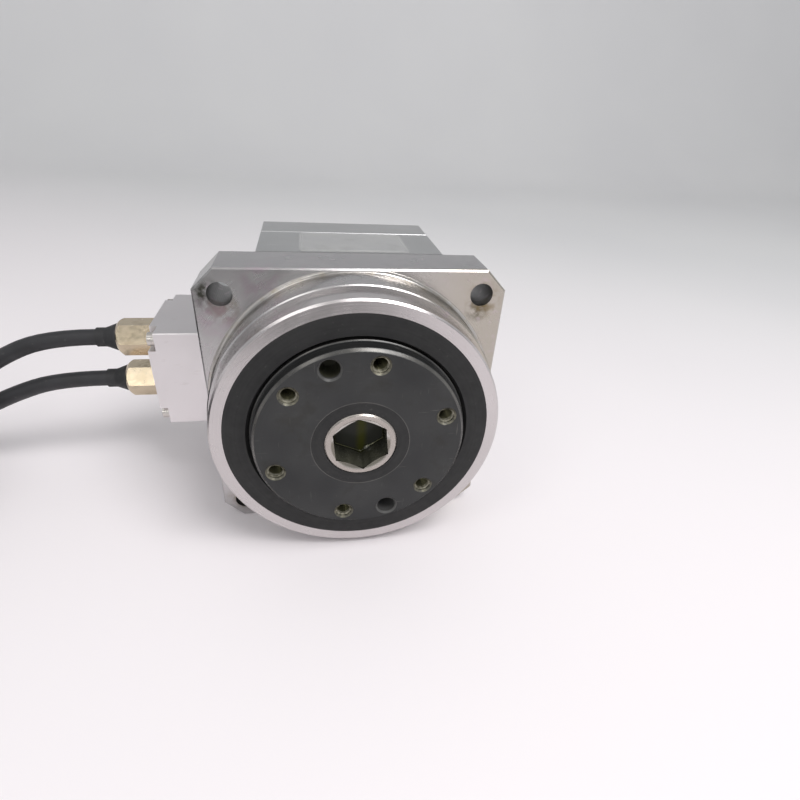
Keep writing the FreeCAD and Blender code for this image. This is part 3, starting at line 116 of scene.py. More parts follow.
class Look:
    """A material whose nodes are added and wired in a few words."""

    def __init__(self, name, **constants):
        self.material = bpy.data.materials.new(name)
        self.material.use_nodes = True
        self.tree = self.material.node_tree
        self.shader = self.tree.nodes["Principled BSDF"]
        for word, value in constants.items():
            self.shader.inputs[SOCKETS.get(word, word.title())].default_value = value
        self.place = self.add("TexCoord", {}, output="Object")

    def add(self, kind, inputs, output=0, **settings):
        node = self.tree.nodes.new("ShaderNode" + kind)
        for key, value in settings.items():
            setattr(node, key, value)
        pairs = inputs.items() if isinstance(inputs, dict) else enumerate(inputs)
        for key, value in pairs:
            if isinstance(value, bpy.types.NodeSocket):
                self.tree.links.new(value, node.inputs[key])
            else:
                node.inputs[key].default_value = value
        return node.outputs[output]

    def noise(self, scale, detail, stretch=None):
        place = self.place
        if stretch:
            place = self.add("Mapping", {"Vector": place, "Scale": stretch})
        return self.add("TexNoise", {"Vector": place, "Scale": scale, "Detail": detail})

    def spots(self, scale, detail, start=SOFT[0], full=SOFT[1], least=0.0, most=1.0, stretch=None):
        """Noise that begins to show at one level and is full at another."""
        return self.spread(self.noise(scale, detail, stretch), start, full, least, most)

    def rings(self, pitch):
        """Uneven turning marks about the output's axis."""
        inputs = {"W": self.from_line(), "Scale": 1 / pitch, "Detail": RING_DETAIL}
        return self.add("TexNoise", inputs, noise_dimensions="1D")

    def bands(self, pitch, axis="Y"):
        """Even ridges that follow each other along an axis."""
        inputs = {"Vector": self.place, "Scale": WAVE_LENGTH / pitch, "Distortion": WAVE_BEND}
        return self.add("TexWave", inputs, "Fac", wave_type="BANDS", bands_direction=axis)

    def spread(self, value, low, high, to_low=0.0, to_high=1.0):
        return self.add("MapRange", [value, low, high, to_low, to_high])

    def math(self, operation, first, second):
        return self.add("Math", [first, second], operation=operation)

    def product(self, first, second):
        return self.math("MULTIPLY", first, second)

    def mix(self, amount, first, second):
        inputs = {0: amount, 6: first, 7: second}
        return self.add("Mix", inputs, 2, data_type="RGBA")

    def axis(self, number):
        return self.add("SeparateXYZ", [self.place], number)

    def distance(self, point, squeeze=(1.0, 1.0, 1.0)):
        """Distance from a point, with each axis squeezed, stretched or left out."""
        offset = tuple(-p * s for p, s in zip(point, squeeze))
        moved = self.add("Mapping", {"Vector": self.place, "Location": offset, "Scale": squeeze})
        return self.add("VectorMath", [moved], "Value", operation="LENGTH")

    def from_line(self, x=0.0, z=0.0):
        """Distance from a line along Y, such as the output's axis or a hole's."""
        return self.distance((x, 0.0, z), (1.0, 0.0, 1.0))

    def behind(self, face, start, full):
        """Begins to show at one depth behind a face and is full at another."""
        return self.spread(self.axis(1), face + start, face + full)

    def tint(self, amount, tone):
        self.tone = self.mix(amount, self.tone, tone)

    def rougher(self, mask, amount):
        self.polish = self.math("ADD", self.polish, self.product(mask, amount))

    def set(self, socket, source):
        self.tree.links.new(source, self.shader.inputs[SOCKETS.get(socket, socket)])

    def bump(self, height, strength, depth):
        inputs = {"Height": height, "Strength": strength, "Distance": depth}
        if self.shader.inputs["Normal"].links:
            inputs["Normal"] = self.shader.inputs["Normal"].links[0].from_socket
        self.set("Normal", self.add("Bump", inputs))


def rgb(red, green, blue):
    return (red, green, blue, 1.0)


def surface(name, tones, rough, patch, grain, dent, depth=GRAIN_DEPTH, **constants):
    """Two tones in soft patches, roughness in finer ones, and a grain."""
    look = Look(name, **constants)
    patches = look.spots(scale=patch, detail=4.0)
    look.tone = look.mix(patches, rgb(*tones[0]), rgb(*tones[1]))
    look.polish = look.spots(scale=FINER * patch, detail=5.0, least=rough[0], most=rough[1])
    look.bump(look.noise(scale=grain, detail=2.0), dent, depth)
    return look


def turned(look, pitch, strength, sheen, depth=FINE_DEPTH, span=None, swing=0.03):
    """Adds the marks and the streaked gloss of turning about the output's axis."""
    marks = look.rings(pitch)
    gloss = look.spread(marks, *SOFT, -swing, swing)
    if span:
        behind = look.spread(look.axis(1), span[0] - SPAN_EDGE, span[0])
        ahead = look.spread(look.axis(1), span[1] + SPAN_EDGE, span[1])
        inside = look.product(behind, ahead)
        gloss = look.product(gloss, inside)
        strength = look.product(inside, strength)
    look.bump(marks, strength, depth)
    look.polish = look.math("ADD", look.polish, gloss)
    look.shader.inputs["Anisotropic"].default_value = sheen
    look.set("Tangent", look.add("Tangent", {}, direction_type="RADIAL", axis="Y"))


def finished(look):
    look.set("Base Color", look.tone)
    look.set("Roughness", look.polish)
    return look.material


# Flange: turned face, painted shade on its top face and in its mounting bores, a painted tan
# reflection towards the right, stains round the mounting holes

FACE_SPAN = (-0.00005, 0.00003)
TOP_SIDE = (FLANGE_HALF - 0.0004, FLANGE_HALF - 0.0001)
TAN_REFLECTION_SIDE = (0.005, 0.040)
TAN_REFLECTION_DEPTH = (0.003, 0.0005)
BORE_EDGE = 0.00005
BORE_WITHIN = (BORE_RADIUS + BORE_EDGE, BORE_RADIUS - BORE_EDGE)
STAIN_CORE = 0.45
STAIN_SQUEEZE = (1.0, 1.0, 0.9)
SHADED = rgb(0.43, 0.425, 0.43)
TAN_REFLECTION = rgb(0.43, 0.395, 0.335)
BORE_SHADE = rgb(0.10, 0.10, 0.095)
RUST = rgb(0.20, 0.15, 0.07)
SOOT = rgb(0.09, 0.09, 0.075)
BLOOM = rgb(0.46, 0.36, 0.42)
PINK = rgb(0.52, 0.44, 0.48)
# Each stain has x, z, radius, strength and tone
STAINS = (
    (-0.0500, 0.0458, 0.0060, 1.0, SOOT), (-0.0455, 0.0412, 0.0062, 0.8, RUST),
    (-0.0480, 0.0375, 0.0080, 0.6, BLOOM), (-0.0330, 0.0500, 0.0090, 0.5, BLOOM),
    (0.0450, 0.0408, 0.0052, 0.9, SOOT), (0.0470, 0.0440, 0.0075, 0.7, RUST),
    (-0.0470, -0.0450, 0.0075, 0.6, RUST), (0.0470, -0.0450, 0.0075, 0.6, RUST),
)


def flange_look():
    look = surface("machined_flange", tones=((0.48, 0.47, 0.47), (0.53, 0.52, 0.52)),
                   rough=(0.22, 0.29), patch=25.0, grain=1500.0, dent=0.05, metallic=1.0)
    turned(look, pitch=0.0009, strength=0.008, sheen=0.4, span=FACE_SPAN, swing=0.012)
    # Painted shade: the top face is darkened.
    look.tint(look.spread(look.axis(2), *TOP_SIDE), SHADED)
    # Painted reflection: the front face turns tan towards the right, for a warm reflection from in
    # front of the part.
    tan_reflection = look.spread(look.axis(0), *TAN_REFLECTION_SIDE, to_high=0.8)
    look.tint(look.product(tan_reflection, look.spread(look.axis(1), *TAN_REFLECTION_DEPTH)), TAN_REFLECTION)
    blots = look.spots(scale=260.0, detail=6.0, start=0.42, full=0.60)
    for x, z, size, strength, tone in STAINS:
        away = look.distance((x, 0.0, z), STAIN_SQUEEZE)
        near = look.spread(away, STAIN_CORE * size, size, strength, 0.0)
        look.tint(look.product(near, blots), tone)
    # Painted shade: the insides of the mounting bores are darkened.
    for side in (-1, 1):
        for up in (1, -1):
            bore = look.from_line(side * MOUNT_HOLE, up * MOUNT_HOLE)
            inside = look.spread(bore, *BORE_WITHIN)
            look.tint(inside, BORE_SHADE)
            look.rougher(inside, amount=0.25)
    look.tint(look.spots(scale=420.0, detail=4.0, start=0.56, full=0.66, most=0.35), PINK)
    return finished(look)


# Housing, cable box and outer ring

def housing_look():
    look = surface("satin_housing", tones=((0.49, 0.50, 0.50), (0.55, 0.55, 0.55)),
                   rough=(0.30, 0.40), patch=18.0, grain=3200.0, dent=0.2, depth=FINE_DEPTH,
                   metallic=1.0)
    rubs = look.spots(scale=90.0, detail=6.0, start=0.62, full=0.72, most=0.5,
                      stretch=(1.0, 5.0, 1.0))
    look.tint(rubs, rgb(0.60, 0.59, 0.58))
    return finished(look)


def box_look():
    look = surface("satin_box", tones=((0.72, 0.69, 0.70), (0.78, 0.75, 0.757)),
                   rough=(0.34, 0.46), patch=30.0, grain=2600.0, dent=0.2, depth=FINE_DEPTH,
                   metallic=1.0)
    scuffs = look.spots(scale=140.0, detail=6.0, start=0.66, full=0.78, most=0.35,
                        stretch=(1.0, 1.0, 3.0))
    look.tint(scuffs, rgb(0.55, 0.51, 0.49))
    return finished(look)


def ring_look():
    look = surface("turned_ring", tones=((0.555, 0.525, 0.525), (0.61, 0.58, 0.58)),
                   rough=(0.20, 0.28), patch=35.0, grain=1500.0, dent=0.04, metallic=1.0)
    turned(look, pitch=0.0006, strength=0.05, sheen=0.6)
    marks = look.spots(scale=500.0, detail=5.0, start=0.68, full=0.74, most=0.6)
    look.tint(marks, rgb(0.42, 0.40, 0.38))
    return finished(look)


# Output: blackened, scratched, worn bright at its edges, with oil in its holes

OUTPUT_METAL = 0.6
HOLES_WITHIN = (0.0364, 0.0360)
MOUTH_DEPTH = (0.00005, 0.00015)
OILY_DEPTH = (0.0005, 0.0016)
DOWEL_WITHIN = (0.0046, 0.0044)
DOWEL_MOUTH = (0.00002, 0.0001)
DOWEL_DEEP = (0.0013, 0.0021)
WORN_EDGES = ((0.0174, 0.0178), (0.0366, 0.0376), (0.0383, 0.0387))
EDGE_FADE = 0.0002
SCRATCHED = rgb(0.15, 0.145, 0.135)
OIL_FILM = rgb(0.030, 0.029, 0.024)
BARE_MOUTH = rgb(0.19, 0.18, 0.135)
OILY_HOLE = rgb(0.040, 0.039, 0.018)
WORN = rgb(0.13, 0.126, 0.118)


def output_look():
    look = surface("black_output", tones=((0.034, 0.035, 0.036), (0.052, 0.053, 0.053)),
                   rough=(0.36, 0.5), patch=60.0, grain=2000.0, dent=0.2, depth=FINE_DEPTH)
    turned(look, pitch=0.0008, strength=0.12, sheen=0.3)
    along = look.noise(scale=420.0, detail=8.0, stretch=(0.25, 1.0, 4.0))
    across = look.noise(scale=380.0, detail=8.0, stretch=(3.0, 1.0, 0.3))
    scratches = look.spread(look.math("MAXIMUM", along, across), low=0.66, high=0.74, to_high=0.5)
    look.tint(scratches, SCRATCHED)
    look.tint(look.spots(scale=130.0, detail=3.0, start=0.55, full=0.7, most=0.4), OIL_FILM)
    radius = look.from_line()
    holes = look.spread(radius, *HOLES_WITHIN)
    blotchy = look.spots(scale=800.0, detail=5.0, start=0.35, full=0.6, least=0.25)
    mouths = look.product(holes, look.behind(OUTPUT_FACE, *MOUTH_DEPTH))
    look.tint(look.product(mouths, blotchy), BARE_MOUTH)
    look.tint(look.product(holes, look.behind(OUTPUT_FACE, *OILY_DEPTH)), OILY_HOLE)
    deep = look.behind(OUTPUT_FACE, *DOWEL_DEEP)
    oily_wall = look.mix(deep, rgb(0.060, 0.060, 0.058), rgb(0.050, 0.050, 0.034))
    # Painted light: the lower-right dowel bore is lighter than the blackened face and grows lighter
    # still deeper in.
    dry_wall_painted_light = look.mix(deep, rgb(0.070, 0.070, 0.068), rgb(0.095, 0.095, 0.095))
    metal = OUTPUT_METAL
    for side, wall in ((-1, oily_wall), (1, dry_wall_painted_light)):
        dowel = look.spread(look.from_line(side * DOWEL_X, -side * DOWEL_Z), *DOWEL_WITHIN)
        dowel = look.product(dowel, look.behind(OUTPUT_FACE, *DOWEL_MOUTH))
        look.tint(dowel, wall)
        metal = look.math("SUBTRACT", metal, look.product(dowel, OUTPUT_METAL))
    look.set("Metallic", metal)
    wear = look.spots(scale=90.0, detail=5.0, start=0.35, full=0.6, least=0.35)
    for start, end in WORN_EDGES:
        inner = look.spread(radius, start, start + EDGE_FADE)
        outer = look.spread(radius, end, end - EDGE_FADE)
        edge = look.product(inner, outer)
        look.tint(look.product(edge, wear), WORN)
        look.rougher(edge, amount=-0.16)
    return finished(look)


# Sleeve: bright face, hex socket with a lead-in cone whose upper part is painted light, and oil on
# its walls and floor with a painted reflection in a streak on the floor

SOCKET_WITHIN = (0.0118, 0.0112)
CONE_DEPTH = (0.0001, 0.0003)
CONE_UPPER = (0.001, 0.003)
WALL_DEPTH = (0.0008, 0.0010)
FLOOR_DEPTH = (-0.0009, -0.0002)
REFLECTION_STREAK_X = 0.0012
REFLECTION_STREAK_HALF = (0.0026, 0.0006)
PLAIN_SPECULAR = 0.5
FLOOR_MATT = 0.40
LOWER_CONE = rgb(0.22, 0.205, 0.175)
UPPER_CONE_PAINTED_LIGHT = rgb(0.55, 0.52, 0.49)


def sleeve_look():
    look = surface("turned_sleeve", tones=((0.42, 0.385, 0.355), (0.47, 0.435, 0.405)),
                   rough=(0.22, 0.32), patch=120.0, grain=2500.0, dent=0.04)
    turned(look, pitch=0.0006, strength=0.15, sheen=0.5)
    socket = look.spread(look.from_line(), *SOCKET_WITHIN)
    cone = look.product(look.behind(SHAFT_FACE, *CONE_DEPTH), socket)
    look.tint(cone, LOWER_CONE)
    # Painted light: the upper part of the cone is pale and not metallic, for the lit lower cone that
    # it would mirror.
    upper_painted_light = look.product(cone, look.spread(look.axis(2), *CONE_UPPER))
    look.tint(upper_painted_light, UPPER_CONE_PAINTED_LIGHT)
    oily = look.product(look.behind(SHAFT_FACE, *WALL_DEPTH), socket)
    smear = look.spots(scale=260.0, detail=4.0, start=0.35, full=0.65, stretch=(1.0, 0.2, 1.0))
    oil = look.mix(smear, rgb(0.036, 0.036, 0.027), rgb(0.066, 0.066, 0.050))
    floor = look.behind(HEX_FLOOR, *FLOOR_DEPTH)
    # Painted reflection: an olive streak down the oil on the socket's floor, for the walls mirrored
    # in it.
    reflection_streak = look.spread(look.distance((REFLECTION_STREAK_X, 0.0, 0.0), (1.0, 0.0, 0.0)), *REFLECTION_STREAK_HALF)
    oil_pool_and_reflection = look.mix(reflection_streak, rgb(0.036, 0.037, 0.031), rgb(0.054, 0.056, 0.012))
    look.tint(oily, look.mix(floor, oil, oil_pool_and_reflection))
    look.rougher(floor, amount=-0.1)
    look.set("Metallic", look.math("SUBTRACT", 1.0, look.math("MAXIMUM", oily, upper_painted_light)))
    look.set("specular", look.math("SUBTRACT", PLAIN_SPECULAR, look.product(floor, FLOOR_MATT)))
    return finished(look)


# Seals, glands, leads and plain metal

RUBBER_LIGHTER = 1.7
SPECK_SHADE = 0.5


def seal_look():
    look = surface("seal_rubber", tones=((0.010, 0.010, 0.0105), (0.018, 0.018, 0.018)),
                   rough=(0.62, 0.78), patch=80.0, grain=1800.0, dent=0.35)
    turned(look, pitch=0.0012, strength=0.2, sheen=0.0, depth=GRAIN_DEPTH)
    dust = look.spots(scale=700.0, detail=4.0, start=0.66, full=0.76, most=0.35)
    look.tint(dust, rgb(0.09, 0.085, 0.08))
    return finished(look)


def gland_look():
    look = surface("gland_nickel", tones=((0.60, 0.50, 0.36), (0.70, 0.60, 0.45)),
                   rough=(0.18, 0.28), patch=150.0, grain=1600.0, dent=0.03, metallic=1.0)
    tarnish = look.spots(scale=240.0, detail=4.0, start=0.56, full=0.72, most=0.3)
    look.tint(tarnish, rgb(0.13, 0.11, 0.05))
    return finished(look)


def rubber_look(name, tone, rough, ribs=0.0):
    """Black rubber or plastic with dust on it, ribbed along X where a pitch is given."""
    lighter = tuple(RUBBER_LIGHTER * part for part in tone)
    look = surface(name, (tone, lighter), rough, patch=90.0, grain=1400.0, dent=0.3)
    if ribs:
        look.bump(look.bands(ribs, "X"), strength=0.2, depth=0.0001)
    dust = look.spots(scale=600.0, detail=4.0, start=0.64, full=0.76, most=0.3)
    look.tint(dust, rgb(0.10, 0.095, 0.09))
    return finished(look)


def metal_look(name, tones, rough, sheets=0.0, ringed=False):
    """Plain metal with darker specks, and sheets along Y or turning marks where asked for."""
    look = surface(name, tones, rough, patch=60.0, grain=1800.0, dent=0.12, metallic=1.0)
    if sheets:
        look.bump(look.bands(sheets), strength=0.4, depth=0.00005)
    if ringed:
        turned(look, pitch=0.0006, strength=0.2, sheen=0.5)
    specks = look.spots(scale=520.0, detail=5.0, start=0.64, full=0.74, most=0.5)
    look.tint(specks, rgb(*(SPECK_SHADE * part for part in tones[0])))
    return finished(look)


# Motor and encoder

TRACK_SHOW = 0.6


def copper_look():
    look = surface("wound_copper", tones=((0.42, 0.17, 0.06), (0.58, 0.27, 0.12)),
                   rough=(0.24, 0.36), patch=80.0, grain=1500.0, dent=0.1, metallic=0.9)
    wires = look.bands(pitch=0.0006, axis="Z")
    look.bump(wires, strength=0.8, depth=0.0002)
    # Painted shade in the gaps between the wires.
    shade_between = look.spread(wires, low=0.0, high=0.4, to_low=0.7, to_high=0.0)
    look.tint(shade_between, rgb(0.16, 0.06, 0.02))
    return finished(look)


def board_look():
    look = surface("solder_mask", tones=((0.020, 0.10, 0.045), (0.028, 0.14, 0.06)),
                   rough=(0.32, 0.44), patch=60.0, grain=1200.0, dent=0.1)
    inputs = {"Vector": look.place, "Scale": 240.0, "Mortar Size": 0.02}
    tracks = look.add("TexBrick", inputs, "Fac")
    look.tint(look.product(tracks, TRACK_SHOW), rgb(0.05, 0.22, 0.09))
    return finished(look)


def glass_look():
    look = surface("etched_disc", tones=((0.62, 0.68, 0.70), (0.72, 0.77, 0.79)),
                   rough=(0.08, 0.16), patch=60.0, grain=1200.0, dent=0.05, metallic=0.3)
    lines = look.spread(look.rings(pitch=0.0012), low=0.5, high=0.6, to_high=0.7)
    look.tint(lines, rgb(0.12, 0.14, 0.15))
    return finished(look)


LOOKS = {
    "flange_aluminium": flange_look(),
    "housing_aluminium": housing_look(),
    "box_aluminium": box_look(),
    "ring_steel": ring_look(),
    "blackened_steel": output_look(),
    "sleeve_steel": sleeve_look(),
    "seal_rubber": seal_look(),
    "boot_rubber": rubber_look("boot_rubber", (0.014, 0.014, 0.015), (0.5, 0.66), ribs=0.0016),
    "cable_jacket": rubber_look("cable_jacket", (0.016, 0.016, 0.018), (0.42, 0.58)),
    "connector_plastic": rubber_look("connector_plastic", (0.018, 0.018, 0.02), (0.45, 0.6)),
    "reader": rubber_look("reader_case", (0.014, 0.014, 0.016), (0.35, 0.5)),
    "gland_metal": gland_look(),
    "bearing_steel": metal_look(
        "bearing_steel", ((0.58, 0.58, 0.58), (0.66, 0.66, 0.66)), (0.14, 0.26), ringed=True),
    "gear_steel": metal_look(
        "gear_steel", ((0.44, 0.44, 0.45), (0.54, 0.54, 0.55)), (0.24, 0.36)),
    "screw_steel": metal_look(
        "black_screw", ((0.035, 0.035, 0.037), (0.06, 0.06, 0.062)), (0.34, 0.5)),
    "box_screw_steel": metal_look(
        "plated_screw", ((0.54, 0.51, 0.48), (0.64, 0.61, 0.58)), (0.24, 0.38)),
    "laminated_iron": metal_look(
        "laminated_iron", ((0.17, 0.17, 0.18), (0.25, 0.25, 0.26)), (0.4, 0.55), sheets=0.0005),
    "magnet": metal_look(
        "nickel_magnet", ((0.40, 0.40, 0.42), (0.50, 0.50, 0.52)), (0.18, 0.3)),
    "copper": copper_look(),
    "encoder_glass": glass_look(),
    "board": board_look(),
}
for subpart in frame["record"]["subparts"]:
    node = nodes[subpart["node"]]
    node.data.materials.clear()
    node.data.materials.append(LOOKS[subpart["material_slot"]])


# Pieces made here

def piece(name, points, faces, look, body, slot):
    mesh = bpy.data.meshes.new(name)
    mesh.from_pydata(points, [], faces)
    outward = bmesh.new()
    outward.from_mesh(mesh)
    bmesh.ops.recalc_face_normals(outward, faces=outward.faces)
    outward.to_mesh(mesh)
    outward.free()
    mesh.update()
    mesh.materials.append(look)
    made = bpy.data.objects.new(name, mesh)
    scene.collection.objects.link(made)
    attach(made, body)
    return made


def joined(*parts):
    """Several lists of points and faces as one."""
    points, faces = [], []
    for more_points, more_faces in parts:
        start = len(points)
        points += more_points
        faces += [[start + corner for corner in face] for face in more_faces]
    return points, faces


def rounded(width, height, corner, steps=5):
    """Outline of a rectangle with round corners, about its middle."""
    points = []
    for number, (sx, sy) in enumerate(((1, 1), (-1, 1), (-1, -1), (1, -1))):
        for step in range(steps + 1):
            angle = math.radians(90 * (number + step / steps))
            points.append((
                sx * (width / 2 - corner) + corner * math.cos(angle),
                sy * (height / 2 - corner) + corner * math.sin(angle)))
    return points


def layered(outline, levels, place):
    """Closed body of an outline at several levels, each a height and an inset."""
    wide = max(x for x, y in outline)
    high = max(y for x, y in outline)
    count = len(outline)
    points, faces = [], []
    for level, inset in levels:
        points += [place(x * (1 - inset / wide), y * (1 - inset / high), level) for x, y in outline]
    for layer in range(len(levels) - 1):
        for number in range(count):
            after = (number + 1) % count
            low, up = layer * count, (layer + 1) * count
            faces.append([low + number, low + after, up + after, up + number])
    faces.append(list(range(count))[::-1])
    faces.append([(len(levels) - 1) * count + number for number in range(count)])
    return points, faces


def swept(outline_at, count):
    """Closed ring of a section that is given at each of count places round a loop."""
    points, faces = [], []
    for number in range(count):
        points += outline_at(number)
    size = len(points) // count
    for number in range(count):
        here, there = number * size, (number + 1) % count * size
        for side in range(size):
            after = (side + 1) % size
            faces.append([here + side, here + after, there + after, there + side])
    return points, faces


# Bare plate in the label's place, with a pressed border line

LABEL_X = 0.0015
LABEL_Y = 0.03475
LABEL_WIDTH = 0.042
LABEL_LENGTH = 0.0265
LABEL_CORNER = 0.0012
LABEL_LEVELS = (
    (0.0, 0.0), (0.00015, 0.0), (0.0002, 0.00008), (0.0002, 0.0009), (0.00014, 0.001),
    (0.00014, 0.0013), (0.0002, 0.0014),
)


def label_look():
    look = surface("label_foil", tones=((0.58, 0.58, 0.58), (0.63, 0.63, 0.62)),
                   rough=(0.36, 0.48), patch=60.0, grain=1500.0, dent=0.1, metallic=0.85)
    smudge = look.spots(scale=150.0, detail=5.0, start=0.55, full=0.7, most=0.5)
    look.tint(smudge, rgb(0.52, 0.52, 0.51))
    return finished(look)


label = layered(
    rounded(LABEL_WIDTH, LABEL_LENGTH, LABEL_CORNER), LABEL_LEVELS,
    lambda x, y, z: (LABEL_X + x, LABEL_Y + y, HOUSING_TOP + z))
piece("label_plate", *label, label_look(), "housing", "housing_aluminium")


# Fillet at the pilot's root, narrower where the flange's edges come close to it

FILLET = 0.0016
FILLET_SINK = 0.0003
FILLET_SIDES = 240
FILLET_STEPS = 10
FLANGE_EDGE = 0.0006
FACE_HALF = FLANGE_HALF - FLANGE_EDGE


def fillet_section(number):
    angle = 2 * math.pi * number / FILLET_SIDES
    across, up = math.sin(angle), math.cos(angle)
    size = min(FILLET, FACE_HALF / max(abs(across), abs(up)) - PILOT_RADIUS)
    inner = PILOT_RADIUS - FILLET_SINK
    section = [(inner, FILLET_SINK), (inner, -size)]
    for step in range(FILLET_STEPS + 1):
        turn = math.radians(90 * step / FILLET_STEPS)
        section.append((PILOT_RADIUS + size * (1 - math.cos(turn)), -size * (1 - math.sin(turn))))
    section.append((PILOT_RADIUS + size, FILLET_SINK))
    return [(radius * across, level, radius * up) for radius, level in section]


def fillet_look():
    look = surface("polished_root", tones=((0.44, 0.42, 0.40), (0.50, 0.48, 0.46)),
                   rough=(0.18, 0.26), patch=60.0, grain=1500.0, dent=0.05, metallic=1.0)
    stain = look.spots(scale=300.0, detail=5.0, start=0.5, full=0.7, most=0.5)
    look.tint(stain, rgb(0.40, 0.35, 0.27))
    return finished(look)


fillet = swept(fillet_section, FILLET_SIDES)
pilot_fillet = piece("pilot_fillet", *fillet, fillet_look(), "housing", "flange_aluminium")
pilot_fillet.data.shade_smooth()


# Bead of oil round the floor of the hex socket, with a drop on it that carries a painted glint and
# glow

HEX_SIDES = 6
HEX_TURN = 360 / HEX_SIDES
BEAD = 0.00035
BEAD_SIDES = 10
BEAD_STEPS = 12
DROP_AT = 32.5
DROP_SPAN = 1.6
DROP_GROWTH = 1.6
GLINT_REACH = (0.0016, 0.0008)
PAINTED_GLOW_REACH = (0.0045, 0.0010)
PAINTED_GLOW = rgb(0.24, 0.24, 0.17)
PAINTED_GLINT = rgb(0.95, 0.94, 0.88)


def bead_line(number):
    """Place on the hexagon's outline, counted in steps from its first corner."""
    corner, step = divmod(number, BEAD_STEPS)
    start = math.radians(HEX_ANGLE + HEX_TURN * corner)
    end = start + math.radians(HEX_TURN)
    share = step / BEAD_STEPS
    reach = HEX_ACROSS / math.sqrt(3)
    x = reach * (math.sin(start) * (1 - share) + math.sin(end) * share)
    z = reach * (math.cos(start) * (1 - share) + math.cos(end) * share)
    return x, z


def bead_section(number):
    x, z = bead_line(number)
    thick = BEAD * (1 + DROP_GROWTH * math.exp(-((number - DROP_AT) / DROP_SPAN) ** 2))
    section = []
    for side in range(BEAD_SIDES):
        turn = 2 * math.pi * side / BEAD_SIDES
        scale = 1 - thick * (1 + math.cos(turn)) / math.hypot(x, z)
        section.append((x * scale, HEX_FLOOR - thick * math.sin(turn), z * scale))
    return section


def oil_look():
    look = surface("clear_oil", tones=((0.06, 0.06, 0.03), (0.10, 0.10, 0.055)),
                   rough=(0.10, 0.16), patch=300.0, grain=1500.0, dent=0.03)
    drop_x, drop_z = bead_line(DROP_AT)
    away = look.distance((drop_x, HEX_FLOOR, drop_z))
    # Painted highlight: a pale glow round the drop and a near-white glint on it.
    look.tint(look.spread(away, *PAINTED_GLOW_REACH), PAINTED_GLOW)
    glint = look.spread(away, *GLINT_REACH)
    look.tint(glint, PAINTED_GLINT)
    look.rougher(glint, amount=0.12)
    look.set("Metallic", look.spread(glint, low=0.0, high=1.0, to_low=0.75, to_high=0.55))
    return finished(look)


bead = swept(bead_section, HEX_SIDES * BEAD_STEPS)
socket_oil = piece("socket_oil", *bead, oil_look(), "rotor", "sleeve_steel")
socket_oil.data.shade_smooth()


# Dust lip that closes the centre seal's front round the sleeve

LIP_SIDES = 120
LIP_INNER = 0.01306
LIP_OUTER = 0.01425
LIP_TAIL = 0.01325
# Each point of the section has a radius and a depth behind the output's face
LIP_SECTION = (
    (LIP_INNER, 0.00015), (LIP_OUTER, 0.00002), (LIP_OUTER, 0.0004), (LIP_TAIL, 0.0016),
    (LIP_INNER, 0.0016),
)


def lip_section(number):
    angle = 2 * math.pi * number / LIP_SIDES
    across, up = math.sin(angle), math.cos(angle)
    return [(radius * across, OUTPUT_FACE + depth, radius * up) for radius, depth in LIP_SECTION]


lip = swept(lip_section, LIP_SIDES)
piece("center_dust_lip", *lip, LOOKS["seal_rubber"], "output", "seal_rubber")


# Threads in the output's M6 holes, bright at their mouths

THREAD_PITCH = 0.001
THREAD_SINK = 0.00002
THREAD_DEPTH = 0.0005
THREAD_WALL = HOLE_RADIUS + THREAD_SINK
THREAD_CREST = THREAD_WALL - THREAD_DEPTH
THREAD_FRONT = OUTPUT_FACE + 0.0008
THREAD_TURNS = 10
THREAD_SIDES = 24
ROOT_HALF = 0.44 * THREAD_PITCH
CREST_HALF = 0.05 * THREAD_PITCH
THREAD_RIDGE = (
    (THREAD_WALL, -ROOT_HALF), (THREAD_CREST, -CREST_HALF), (THREAD_CREST, CREST_HALF),
    (THREAD_WALL, ROOT_HALF),
)
THREAD_BRIGHT = (0.0031, 0.0017)


def thread(number):
    angle = math.radians(HOLE_ANGLE + 360 / HOLES * number)
    middle_x = HOLE_REACH * math.sin(angle)
    middle_z = HOLE_REACH * math.cos(angle)
    size = len(THREAD_RIDGE)
    steps = THREAD_TURNS * THREAD_SIDES
    points, faces = [], []
    for step in range(steps + 1):
        turn = 2 * math.pi * step / THREAD_SIDES
        level = THREAD_FRONT + THREAD_PITCH * step / THREAD_SIDES
        for radius, ahead in THREAD_RIDGE:
            points.append((
                middle_x + radius * math.cos(turn), level + ahead,
                middle_z + radius * math.sin(turn)))
    for step in range(steps):
        here, there = size * step, size * (step + 1)
        for side in range(size):
            after = (side + 1) % size
            faces.append([here + side, here + after, there + after, there + side])
    faces.append(list(range(size))[::-1])
    faces.append([size * steps + side for side in range(size)])
    return points, faces


def thread_look():
    look = surface("oiled_thread", tones=((0.035, 0.034, 0.018), (0.07, 0.066, 0.04)),
                   rough=(0.24, 0.38), patch=60.0, grain=1800.0, dent=0.12)
    blotchy = look.spots(scale=800.0, detail=5.0, start=0.35, full=0.6, least=0.25)
    front = look.product(look.behind(OUTPUT_FACE, *THREAD_BRIGHT), blotchy)
    look.tint(front, rgb(0.27, 0.255, 0.20))
    look.set("Metallic", look.spread(front, low=0.0, high=1.0, to_low=1.0, to_high=0.2))
    return finished(look)


threads = joined(*(thread(number) for number in range(HOLES)))
piece("output_threads", *threads, thread_look(), "output", "blackened_steel")


# Leads: straight out of the glands, down to the table and round two stacked coils

